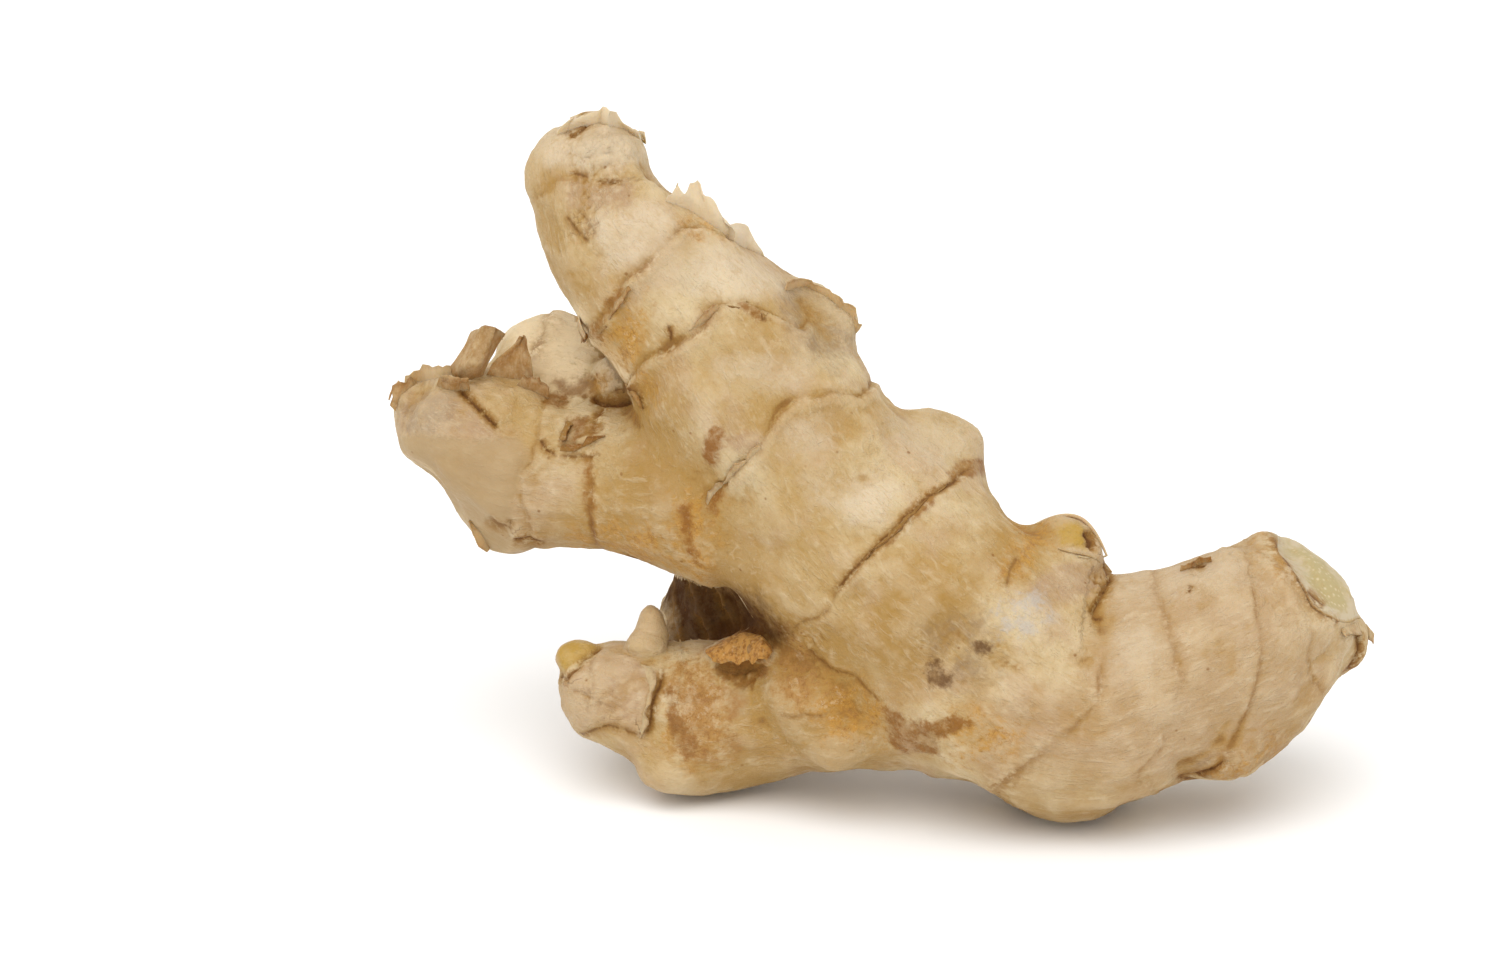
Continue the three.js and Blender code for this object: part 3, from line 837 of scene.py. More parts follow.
PATCHES: dict[Mark, tuple[Patch, ...]] = {
    Mark.STAIN: (
        Patch((543, 401, 550, 394, 568, 395, 570, 402, 562, 408, 552, 406), rise=-0.3),
        Patch((560, 437, 568, 419, 586, 418, 604, 424, 604, 433, 588, 437, 577, 441, 578, 450, 567, 452,
            559, 445), rise=-0.35),
        Patch((589, 334, 606, 300, 622, 288, 616, 308, 604, 326, 600, 345)),
        Patch((738, 305, 756, 306, 768, 322, 756, 322)),
        Patch((947, 474, 958, 460, 984, 460, 988, 474, 970, 478, 954, 482)),
        Patch((880, 548, 910, 508, 934, 489, 930, 506, 905, 529, 888, 546)),
        Patch((885, 708, 894, 732, 906, 750, 928, 752, 944, 755, 940, 738, 960, 728, 976, 721, 955, 715,
            930, 719, 908, 718)),
        Patch((884, 705, 900, 712, 912, 734, 908, 754, 890, 736)),
        # Painted shade under the crumbly knob on the low finger.
        Patch((716, 664, 758, 664, 772, 672, 748, 684, 722, 680)),
        Patch((664, 690, 672, 686, 680, 715, 700, 745, 690, 760, 672, 742)),
    ),
    Mark.ORANGE: (
        Patch((592, 384, 601, 377, 610, 384, 601, 392)),
        Patch((686, 226, 704, 222, 714, 230, 700, 234, 688, 234)),
        Patch((596, 340, 620, 300, 640, 300, 634, 350, 650, 398, 640, 405, 615, 360)),
        Patch((680, 500, 704, 496, 712, 540, 706, 580, 688, 570, 676, 530)),
        Patch((1004, 582, 1018, 540, 1024, 526, 1046, 522, 1044, 545, 1020, 575)),
        Patch((940, 722, 985, 716, 1014, 730, 1004, 756, 960, 756)),
        Patch((776, 632, 790, 630, 806, 664, 850, 680, 884, 706, 880, 740, 826, 730, 790, 700, 770, 672)),
        Patch((782, 640, 796, 650, 806, 672, 790, 690, 770, 672, 772, 652)),
        Patch((668, 660, 700, 664, 730, 700, 724, 750, 690, 762, 668, 740)),
        Patch((570, 540, 600, 520, 660, 530, 672, 560, 640, 566, 590, 552)),
        Patch((1262, 536, 1274, 540, 1290, 575, 1278, 572)),
        Patch((1236, 765, 1262, 752, 1280, 742, 1268, 764, 1246, 782, 1210, 784)),
    ),
    Mark.PINK: (
        Patch((390, 437, 394, 408, 408, 389, 425, 390, 445, 392, 460, 393, 478, 410, 496, 427, 486, 434,
            464, 438, 430, 436)),
        Patch((560, 174, 590, 173, 635, 182, 628, 208, 600, 212, 566, 208)),
        Patch((690, 328, 700, 312, 716, 305, 718, 318, 706, 330, 694, 334), rise=0.35),
        Patch((729, 440, 752, 432, 768, 438, 756, 450, 738, 452)),
        Patch((1024, 590, 1050, 568, 1100, 560, 1104, 590, 1070, 602, 1034, 604)),
        Patch((672, 680, 700, 680, 720, 700, 712, 730, 690, 740, 676, 715)),
        Patch((563, 678, 586, 660, 602, 649, 628, 658, 642, 667, 662, 674, 658, 684, 651, 700, 645, 730,
            638, 736, 618, 728, 594, 724, 578, 728, 566, 716, 561, 698), rise=0.45, edge=0.4),
        Patch((1170, 575, 1206, 562, 1212, 568, 1184, 582)),
    ),
    Mark.SCUFF: (
        # Painted highlights: the lit top of the trunk's right side and the lit top of the right finger.
        Patch((880, 412, 930, 418, 968, 430, 975, 455, 940, 468, 890, 450)),
        Patch((1112, 580, 1160, 572, 1240, 560, 1250, 588, 1180, 600, 1120, 606)),
        Patch((577, 138, 622, 138, 620, 166, 585, 166)),
        Patch((656, 240, 690, 232, 712, 248, 700, 285, 660, 290, 640, 278)),
        Patch((717, 358, 760, 352, 806, 372, 800, 392, 750, 388, 716, 378)),
        Patch((780, 430, 800, 414, 824, 420, 826, 448, 800, 460, 784, 452)),
        Patch((800, 470, 830, 478, 860, 500, 850, 520, 815, 505)),
        Patch((932, 424, 950, 426, 954, 446, 940, 454, 932, 446)),
        Patch((1112, 632, 1150, 620, 1168, 650, 1150, 684, 1112, 680)),
        Patch((1218, 560, 1222, 550, 1240, 549, 1240, 558), rise=0.5, edge=1.2),
    ),
    Mark.SMOOTH: (
        Patch((388, 439, 423, 475, 447, 501, 473, 530, 488, 555, 508, 553, 511, 506, 519, 484, 530, 458,
            522, 436, 503, 433, 488, 438, 467, 440, 440, 436, 410, 434), rise=0.15, edge=1.0),
        Patch((720, 690, 745, 688, 748, 715, 728, 720)),
    ),
    Mark.GREY: (
        Patch((406, 404, 440, 398, 452, 418, 430, 436, 404, 428)),
        # Painted shade on the underside of the end's heel.
        Patch((1182, 766, 1262, 747, 1290, 738, 1270, 782, 1240, 798, 1182, 798)),
        Patch((788, 290, 810, 286, 852, 312, 858, 340, 830, 370, 792, 350, 782, 315)),
        Patch((921, 628, 950, 616, 985, 612, 986, 640, 950, 652, 924, 648)),
        Patch((948, 660, 990, 650, 1002, 664, 980, 690, 955, 686)),
    ),
    Mark.FLESH: (
        Patch((1263, 530, 1276, 551, 1288, 567, 1300, 589, 1311, 608, 1322, 617, 1334, 622, 1347, 623,
            1364, 617, 1360, 598, 1353, 578, 1331, 552, 1303, 536, 1273, 526)),
    ),
    Mark.BUD: (
        Patch((1056, 526, 1078, 522, 1090, 536, 1084, 550, 1060, 548)),
        Patch((556, 656, 559, 636, 582, 640, 602, 644, 586, 659, 565, 673)),
    ),
    Mark.DARK: (
        Patch((974, 644, 986, 640, 992, 652, 982, 660)),
        Patch((925, 672, 930, 660, 940, 662, 956, 680, 944, 686, 928, 690)),
    ),
    Mark.RUSSET: (
        Patch((668, 662, 700, 666, 738, 700, 738, 748, 700, 766, 674, 750)),
        Patch((762, 636, 790, 634, 812, 664, 836, 690, 800, 706, 768, 684)),
    ),
    # Ochre skin with painted shade: the undersides, the left and lower edges, the joins between fingers and the
    # sprout's shaded right side are darkened and warmed.
    Mark.OCHRE: (
        Patch((518, 150, 545, 170, 575, 250, 610, 310, 620, 350, 585, 330, 540, 250)),
        Patch((600, 320, 650, 330, 680, 420, 720, 500, 800, 600, 820, 660, 760, 640, 700, 600, 600, 560,
            500, 555, 520, 520, 590, 500, 640, 440)),
        Patch((680, 500, 740, 520, 800, 600, 860, 640, 900, 700, 880, 760, 800, 770, 700, 790, 680, 740,
            760, 660, 690, 560)),
        Patch((900, 560, 980, 580, 960, 640, 900, 720, 850, 660)),
        Patch((990, 780, 1060, 810, 1160, 780, 1280, 730, 1320, 690, 1330, 740, 1240, 800, 1100, 830,
            1000, 820)),
        Patch((990, 500, 1050, 520, 1040, 580, 1000, 590, 980, 550)),
        Patch((730, 420, 790, 405, 860, 402, 880, 420, 800, 430, 750, 450)),
        Patch((740, 320, 800, 340, 780, 370, 740, 350)),
        Patch((654, 600, 670, 618, 668, 645, 652, 645)),
    ),
    Mark.PALE: (
        # Pale skin with a painted highlight on the trunk's bulge.
        Patch((846, 480, 880, 470, 900, 490, 880, 525, 850, 520)),
        Patch((530, 130, 580, 112, 640, 125, 648, 160, 600, 172, 540, 165)),
        Patch((590, 215, 650, 203, 682, 222, 645, 262, 602, 272)),
        Patch((700, 240, 760, 255, 800, 290, 740, 300, 690, 290)),
    ),
    Mark.BLUSH: (
        Patch((1105, 560, 1260, 535, 1300, 600, 1345, 640, 1310, 720, 1240, 770, 1120, 790, 1000, 770,
            975, 700, 1080, 680)),
        Patch((420, 440, 500, 440, 560, 480, 540, 540, 480, 540)),
    ),
    # Painted light: the lobe and its bud lie in the upper finger's shade, and this colour, far paler than the
    # skin, lifts them to the lobe's pale cream.
    Mark.LIGHT: (
        Patch((500, 325, 540, 306, 582, 308, 606, 346, 590, 362, 590, 392, 560, 400, 535, 378, 515, 350)),
        Patch((592, 345, 612, 350, 636, 378, 630, 390, 600, 392)),
    ),
    # Painted highlight: the whitish shiny spot on the trunk's front near the right finger, painted into the
    # colour.
    Mark.SHEEN: (
        Patch((990, 612, 1012, 594, 1044, 594, 1052, 618, 1022, 638, 996, 634)),
    ),
    Mark.CRUST: (
        Patch((703, 452, 712, 428, 721, 426, 724, 448, 712, 468, 704, 466), rise=0.3),
        Patch((586, 456, 594, 456, 593, 480, 596, 508, 587, 511, 585, 480)),
        # Painted shade inside the hole beside the yellow bud, over brown crust.
        Patch((1083, 533, 1092, 533, 1097, 545, 1090, 551, 1084, 545), rise=-0.6),
        Patch((682, 506, 690, 503, 695, 540, 702, 560, 690, 548)),
        Patch((703, 496, 716, 494, 712, 514, 704, 512)),
        Patch((706, 650, 722, 636, 737, 628, 762, 628, 774, 646, 766, 660, 742, 664, 718, 662)),
    ),
    # Painted shade: the back finger seen in the gap between the fingers is darkened almost to black over its
    # own dark banded skin, and so is the wedge between the trunk and the low finger.
    Mark.GLOOM: (
        Patch((630, 550, 675, 564, 740, 594, 760, 620, 760, 675, 660, 675, 669, 618, 656, 598, 630, 612),
            back=-2.5),
        Patch((728, 588, 752, 594, 792, 632, 780, 648, 748, 640, 728, 616)),
    ),
}

SWELLINGS = (
    Bump((950, 632), 4.0, -1.0), Bump((1020, 612), 5.0, 0.8), Bump((1065, 550), 4.0, 0.8),
    Bump((1040, 530), 3.5, -0.8), Bump((860, 480), 11.0, 0.9), Bump((700, 480), 4.0, -0.9),
    Bump((655, 300), 7.0, 0.6), Bump((740, 360), 9.0, 0.7), Bump((470, 480), 9.0, -1.2),
    Bump((430, 415), 5.0, 0.9), Bump((550, 480), 4.0, -0.6), Bump((620, 460), 6.0, 0.7),
    Bump((600, 190), 5.0, -0.7), Bump((640, 165), 3.0, -0.5), Bump((820, 330), 5.0, -0.8),
    Bump((740, 676), 3.0, -0.9), Bump((735, 700), 4.0, 0.6), Bump((830, 700), 6.0, 0.6),
    Bump((1130, 690), 6.0, 0.5), Bump((1210, 640), 7.0, 0.6), Bump((1285, 640), 5.0, 0.5),
    Bump((1180, 775), 4.0, -1.0), Bump((1330, 655), 4.0, -0.9), Bump((960, 590), 8.0, 0.6),
)

CRUMBLES = (
    Bump((600, 140), 5.5, 0.4), Bump((610, 700), 5.0, 0.25), Bump((430, 390), 4.0, 0.25),
    Bump((742, 662), 4.0, 0.6), Bump((690, 700), 5.0, 0.3), Bump((810, 650), 6.0, 0.3),
    Bump((1100, 590), 3.0, 0.5), Bump((1075, 545), 3.5, 0.4), Bump((580, 430), 4.0, 0.4),
    Bump((600, 390), 4.0, 0.3), Bump((930, 735), 5.0, 0.3), Bump((700, 540), 5.0, 0.3),
    Bump((585, 225), 4.0, 0.35), Bump((600, 175), 5.0, 0.3), Bump((1000, 640), 7.0, 0.18),
    Bump((860, 320), 4.0, 0.3),
)


@dataclass
class Skin:
    """The root's whole outside, grown from the solid that it replaces.

    Fields:
        weld: how near corners of the solid's triangles are joined.
        melt_voxel: the mesh's grain while the fingers melt together.
        fine_voxel: the finished mesh's grain.
        quick_voxel: a coarser grain; not used.
        melt_rounds: how often the melted joins are smoothed.
        polish_rounds: how often the finished mesh is smoothed.
        fit_rounds: how often the outline is fitted before the skin is marked.
        fit_density: how many points of the outline are compared for each of its corners.
        fit_window: how far along and across the outline a vertex may lie that stands for it, in pixels.
        fit_reach: how far a fitted vertex pulls others.
        fit_calm: how strongly the rest of the skin stays where it is.
        line_margin: how far round a line vertices are looked at, in pixels.
        patch_margin: how far round a patch vertices are looked at, in pixels.
        mark_reach: how far from a patch's edge its depth is told.
        line_reach: how far from a line its distance is told.
        floor_gap: how high the lowest vertex lies.
        sawn_from: where along x the sawn face starts.
    """

    weld: float = 0.01
    melt_voxel: float = 0.9
    fine_voxel: float = 0.645
    quick_voxel: float = 0.9
    melt_rounds: int = 18
    polish_rounds: int = 3
    fit_rounds: int = 3
    fit_density: float = 1.7
    fit_window: tuple[float, float] = (5.0, 32.0)
    fit_reach: float = 3.6
    fit_calm: float = 0.12
    line_margin: float = 40.0
    patch_margin: float = 55.0
    mark_reach: float = 7.0
    line_reach: float = 9.0
    floor_gap: float = 0.02
    sawn_from: float = 55.0
    lines: list[FingerLine] = field(default_factory=lambda: [finger.line() for finger in FINGERS])
    object: bpy.types.Object | None = None
    tree: BVHTree | None = None

    def build(self, solid: bpy.types.Object) -> bpy.types.Object:
        """Makes the skin's mesh.

        Args:
            solid: the solid that it replaces.

        Returns:
            The finished piece.
        """
        self._copy(solid)
        self._add_knobs([knob for knob in KNOBS if knob.broad])
        self._remesh(self.melt_voxel, self.melt_rounds)
        self._add_knobs([knob for knob in KNOBS if not knob.broad])
        self._remesh(self.fine_voxel, self.polish_rounds)
        self._fit_outline(self.fit_rounds)
        self._remember()
        self._shape()
        return self.object

    def _copy(self, solid: bpy.types.Object) -> None:
        """Copies the solid and merges its loose triangles.

        Args:
            solid: the solid that the skin replaces.
        """
        copy = solid.copy()
        copy.data = solid.data.copy()
        copy.name = "rhizome_skin"
        copy.parent = None
        for key in list(copy.keys()):
            if key.startswith("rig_"):
                del copy[key]
        bpy.context.scene.collection.objects.link(copy)
        select_only(copy)
        bpy.ops.object.mode_set(mode="EDIT")
        bpy.ops.mesh.select_all(action="SELECT")
        bpy.ops.mesh.remove_doubles(threshold=self.weld * MM)
        bpy.ops.object.mode_set(mode="OBJECT")
        self.object = copy
        self._grow_tree()

    def _grow_tree(self) -> None:
        """Makes the search tree of the skin as it is now."""
        mesh = self.object.data
        corners = [polygon.vertices[:] for polygon in mesh.polygons]
        self.tree = BVHTree.FromPolygons([tuple(place) for place in vertices_of(mesh)], corners)

    def _add_knobs(self, chosen: list[Knob]) -> None:
        """Adds some of the lumps, so that they grow into the skin.

        Args:
            chosen: the lumps.
        """
        lumps = []
        for knob in chosen:
            place = CAMERA.first_hit(self.tree, knob.pixel)
            if place is None:
                log.info("knob at %s misses the root", knob.pixel)
                continue
            place = place + knob.behind * CAMERA.forward + knob.rise * CAMERA.up
            bpy.ops.object.select_all(action="DESELECT")
            bpy.ops.mesh.primitive_uv_sphere_add(segments=24, ring_count=16, radius=MM, location=place * MM)
            lump = bpy.context.object
            across, up, deep = knob.radii
            lump.scale = (across, deep, up)
            lumps.append(lump)
        select_only(self.object)
        for lump in lumps:
            lump.select_set(True)
        bpy.ops.object.join()

    def _remesh(self, voxel: float, rounds: int) -> None:
        """Melts the skin into one mesh with an even grain and smooths it a number of rounds."""
        apply_modifier(self.object, "REMESH", mode="VOXEL", voxel_size=voxel * MM)
        apply_modifier(self.object, "SMOOTH", factor=0.5, iterations=rounds)
        self._grow_tree()

    def _outline_pulls(self, places: Array) -> tuple[list[Array], list[Array]]:
        """Compares the skin's outline with the real one.

        Args:
            places: the skin's vertices.

        Returns:
            The vertices that make the outline, and how each of them has to move.
        """
        right = np.array((1.0, 0.0, 0.0))
        pixels, depth = CAMERA.picture_of(places)
        # The back finger shows only inside the outline, so none of its vertices stand for it.
        back_finger = (places[:, 0] < 0) & (places[:, 1] > 4) & (places[:, 2] < 32)
        anchors, pulls = [], []
        for outline in OUTLINES:
            corners = in_rows(outline)
            line = spread_evenly(corners, int(len(corners) * self.fit_density))
            for point, run in zip(line, unit(np.gradient(line, axis=0))):
                out = np.array((run[1], -run[0]))
                away = pixels - point
                reach = away @ out
                along, across = self.fit_window
                close = (np.abs(away @ run) < along) & (np.abs(reach) < across) & ~back_finger
                if close.any():
                    chosen = np.flatnonzero(close)[np.argmax(reach[close])]
                    pull = -reach[chosen] * depth[chosen] / CAMERA.pixels_per_slope
                    anchors.append(places[chosen])
                    pulls.append(pull * (out[0] * right - out[1] * CAMERA.up))
        return anchors, pulls

    def _fit_outline(self, rounds: int) -> None:
        """Moves the skin in the camera's plane until its outline is the real one.

        Args:
            rounds: how many times the outline is measured and moved.
        """
        for _ in range(rounds):
            places = vertices_of(self.object.data)
            anchors, pulls = self._outline_pulls(places)
            weight = np.full(len(places), self.fit_calm)
            total = np.zeros_like(places)
            for anchor, pull in zip(anchors, pulls):
                near = np.flatnonzero((np.abs(places - anchor) < 2.5 * self.fit_reach).all(axis=1))
                share = np.exp(-((places[near] - anchor) ** 2).sum(axis=1) / self.fit_reach**2)
                weight[near] += share
                total[near] += share[:, None] * pull
            self._move_to(places + total / weight[:, None])
            log.info("outline was off by %.2f mm", np.linalg.norm(pulls, axis=1).mean())
        self._grow_tree()

    def _move_to(self, places: Array) -> None:
        """Moves the skin's vertices, but none of them into the floor."""
        places[:, 2] = np.maximum(places[:, 2], self.floor_gap)
        put_vertices(self.object.data, places)

    def _remember(self) -> None:
        """Notes where each vertex is before it is moved: on its finger, in the picture, and if it is seen."""
        self.places = vertices_of(self.object.data)
        self.normals = normals_of(self.object.data)
        count = len(self.places)
        outside = np.full(count, np.inf)
        runner_up = np.full(count, np.inf)
        self.owner = np.zeros(count, int)
        self.straight = np.zeros((count, 3))
        self.angle = np.zeros(count)
        for index, line in enumerate(self.lines):
            straight, angle, gap = line.locate(self.places)
            closer = gap < outside
            runner_up = np.where(closer, outside, np.minimum(runner_up, gap))
            outside[closer] = gap[closer]
            self.owner[closer] = index
            self.straight[closer] = straight[closer]
            self.angle[closer] = angle[closer]
        # 0 where two fingers meet and 1 where only one is near.
        self.own = smooth_step(runner_up - outside, 0.3, 4.0)
        self.pixels, depth = CAMERA.picture_of(self.places)
        self.pixel_mm = depth / CAMERA.pixels_per_slope
        # Skin is seen where it faces the camera, if only just, and nothing hides it.
        toward = unit(CAMERA.place - self.places)
        facing = (self.normals * toward).sum(axis=1)
        seen = facing > -0.05
        lifted = self.places + self.normals * 0.3
        for index in np.flatnonzero(seen):
            seen[index] = cast(self.tree, lifted[index], toward[index]) is None
        self.seen = seen * smooth_step(facing, -0.05, 0.15)
        # The skin is flat on the sawn face and where the root rests.
        right_end = self.places[:, 0] > self.sawn_from
        self.sawn = smooth_step(self.normals @ unit(np.array(SAWN_WAY)), 0.97, 0.995) * right_end
        resting = 1.0 - smooth_step(self.places[:, 2], 0.2, 2.5)
        self.flat = np.clip(self.sawn + resting, 0.0, 1.0)

    def _near(self, path: Array, margin: float) -> Array:
        """The seen vertices in the box round some pixels.

        Args:
            path: the pixels, one row each.
            margin: how much wider the box is on each side, in pixels.

        Returns:
            The vertices' numbers.
        """
        low = path.min(axis=0) - margin
        high = path.max(axis=0) + margin
        inside = ((self.pixels > low) & (self.pixels < high)).all(axis=1)
        return np.flatnonzero(inside & (self.seen > 0))

    def _no_lines(self) -> tuple[Array, Array, Array]:
        """No movement, no line in reach and no ink, for every vertex."""
        count = len(self.places)
        return np.zeros(count), np.full(count, self.line_reach), np.zeros(count)

    def _ring_course(self, ring: Ring, line: FingerLine) -> tuple[Array, Array]:
        """Where a ring runs round its finger.

        Args:
            ring: the ring.
            line: its finger's line.

        Returns:
            Angles round the finger and the distance along it at each.
        """
        hits = [CAMERA.first_hit(self.tree, pixel) for pixel in in_rows(ring.seen)]
        hits = [place for place in hits if place is not None]
        if not hits:
            return np.array((0.0,)), np.array((ring.at,))
        straight, angles, _ = line.locate(np.array(hits))
        order = np.argsort(angles)
        return angles[order], straight[order, 2]

    def _rings(self) -> tuple[Array, Array, Array]:
        """Works out the rings.

        Returns:
            How far each vertex moves out, its signed distance from the nearest ring, and that ring's ink.
        """
        move, gap, ink = self._no_lines()
        wander = ripples(self.places, (21, 4.0, 0.35), (22, 14.0, 0.5), (24, 1.9, 0.22))
        strength = 0.65 + ripples(self.places, (23, 9.0, 0.5))
        for index, (finger, line) in enumerate(zip(FINGERS, self.lines)):
            mine = self.owner == index
            for ring in finger.rings:
                angles, places = self._ring_course(ring, line)
                course = np.interp(self.angle[mine], angles, places, period=2 * math.pi)
                loose = 0.5 if ring.seen else 1.5
                away = (self.straight[mine, 2] - course) * ring.side + wander[mine] * loose
                step = np.exp(-np.clip(away, 0, None) / 4.0) * (away > 0)
                # A lip before the line, a groove just past it and a step down behind them.
                shape = hump(away, -0.9, 0.9) * 0.8 - hump(away, 0.35, 0.55) * 0.7 - step * 0.5
                move[mine] += ring.lip * np.clip(strength[mine] + 0.3, 0.2, 1.3) * shape
                nearer = np.abs(away) < np.abs(gap[mine])
                gap[mine] = np.where(nearer, away, gap[mine])
                ink[mine] = np.where(nearer, ring.ink * np.clip(strength[mine], 0.15, 1.2), ink[mine])
        return move * self.own * (1.0 - self.sawn), gap, ink * self.own * (1.0 - self.sawn)

    def _traces(self) -> tuple[Array, Array, Array]:
        """Works out the creases and torn edges.

        Returns:
            How far each vertex moves out, its distance from the nearest line, and that line's ink.
        """
        move, gap, ink = self._no_lines()
        for trace in TRACES:
            path = in_rows(trace.path)
            near = self._near(path, self.line_margin)
            distance, share, side = distance_to_path(self.pixels[near], path)
            distance = distance * self.pixel_mm[near]
            fade = smooth_step(share, 0.0, 0.12) * (1 - smooth_step(share, 0.88, 1.0)) * self.seen[near]
            groove = -trace.groove * hump(distance, 0.0, 0.6 * trace.width)
            lip = trace.lip * hump(distance, 1.3 * trace.width, trace.width) * (side > 0)
            move[near] += (groove + lip) * fade
            nearer = distance < np.abs(gap[near])
            gap[near] = np.where(nearer, distance * side, gap[near])
            ink[near] = np.where(nearer, trace.ink * fade, ink[near])
        return move, gap, ink

    def _patches(self) -> tuple[Array, dict[Mark, Array]]:
        """Works out the patches.

        Returns:
            How far each vertex moves out, and how deep it lies inside each kind of patch.
        """
        move = np.zeros(len(self.places))
        depths: dict[Mark, Array] = {}
        for mark, patches in PATCHES.items():
            depth = np.full(len(self.places), -self.mark_reach)
            for patch in patches:
                outline = in_rows(patch.outline)
                near = self._near(outline, self.patch_margin)
                inside = depth_in_outline(self.pixels[near], outline) * self.pixel_mm[near]
                marked = (self.seen[near] > 0.3) & (self.places[near, 1] > patch.back)
                depth[near] = np.maximum(depth[near], np.where(marked, inside, -self.mark_reach))
                ragged = inside + ripples(self.places[near], (31, 2.4, 0.25))
                move[near] += patch.rise * smooth_step(ragged, -patch.edge, patch.edge) * self.seen[near]
            depths[mark] = np.clip(depth, -self.mark_reach, self.mark_reach)
        return move, depths

    def _bumps(self, bumps: tuple[Bump, ...]) -> Array:
        """How far some bumps move each vertex out.

        Args:
            bumps: the bumps and dents.

        Returns:
            The movement of each vertex.
        """
        move = np.zeros(len(self.places))
        for bump in bumps:
            place = CAMERA.first_hit(self.tree, bump.pixel)
            if place is not None:
                far = np.linalg.norm(self.places - place, axis=1)
                move += bump.height * hump(far, 0.0, bump.reach)
        return move

    def _lumps(self) -> Array:
        """How far the soft lumps, dents, wrinkles and crumbly places move each vertex out.

        Returns:
            The movement of each vertex.
        """
        stretched = self.straight * np.array((1.0, 1.0, 0.35)) + self.owner[:, None] * 17.0
        wrinkles = self.own * ripples(stretched, (13, 3.2, 0.08))
        soft = ripples(self.places, (11, 26.0, 0.75), (12, 11.0, 0.38), (15, 4.6, 0.10), (14, 1.7, 0.05))
        coarse = np.abs(ripples(self.places, (16, 2.2, 1.0)))
        fine = np.abs(ripples(self.places, (17, 1.2, 1.0)))
        crumbs = (coarse + 0.6 * fine - 0.6) * self._bumps(CRUMBLES)
        return (soft + wrinkles + self._bumps(SWELLINGS) + crumbs) * (1.0 - self.flat)

    def _hollows(self) -> Array:
        """How hollow the finished skin is at each vertex, above zero in grooves and below zero on ridges.

        Returns:
            The number for each vertex.
        """
        mesh = self.object.data
        ends = np.empty(len(mesh.edges) * 2, np.int32)
        mesh.edges.foreach_get("vertices", ends)
        first, second = ends[0::2], ends[1::2]
        places = vertices_of(mesh)
        normals = normals_of(mesh)
        links = np.bincount(first, minlength=len(places)) + np.bincount(second, minlength=len(places))
        smooth = places.copy()
        found = np.zeros(len(places))
        done = 0
        # Smoothed a few times a vertex tells the fine grooves, and smoothed often it tells the broad ones.
        for rounds, full, weight in ((10, 0.14, 0.45), (90, 0.50, 0.55)):
            for _ in range(done, rounds):
                near = [
                    np.bincount(first, smooth[second, axis], len(places))
                    + np.bincount(second, smooth[first, axis], len(places))
                    for axis in range(3)
                ]
                smooth = 0.5 * smooth + 0.5 * np.stack(near, axis=1) / np.maximum(links, 1)[:, None]
            done = rounds
            found += np.clip(((smooth - places) * normals).sum(axis=1) / full, -1.5, 1.5) * weight
        return found

    def _shape(self) -> None:
        """Moves the vertices and stores what the finish reads."""
        rings, ring_gap, ring_ink = self._rings()
        traces, trace_gap, trace_ink = self._traces()
        patches, depths = self._patches()
        move = self._lumps() + rings + traces + patches
        self._move_to(self.places + self.normals * move[:, None])
        numbers = {
            "own": self.own,
            "shown": self.seen,
            "ring_gap": ring_gap,
            "ring_far": np.abs(ring_gap),
            "ring_ink": ring_ink,
            "trace_gap": trace_gap,
            "trace_far": np.abs(trace_gap),
            "trace_ink": trace_ink,
            **{mark.value: depth for mark, depth in depths.items()},
        }
        self._fit_outline(1)
        mesh = self.object.data
        for name, values in numbers.items():
            put_number(mesh, name, values)
        # The finish paints shade into the hollows and light onto the ridges from this number.
        put_number(mesh, "hollow", self._hollows())
        # Each finger's place in its noises is moved, so that no two of them look alike.
        put_vector(mesh, "straight", self.straight + self.owner[:, None] * np.array((31.0, 17.0, 53.0)))
        select_only(self.object)
        bpy.ops.object.shade_smooth()


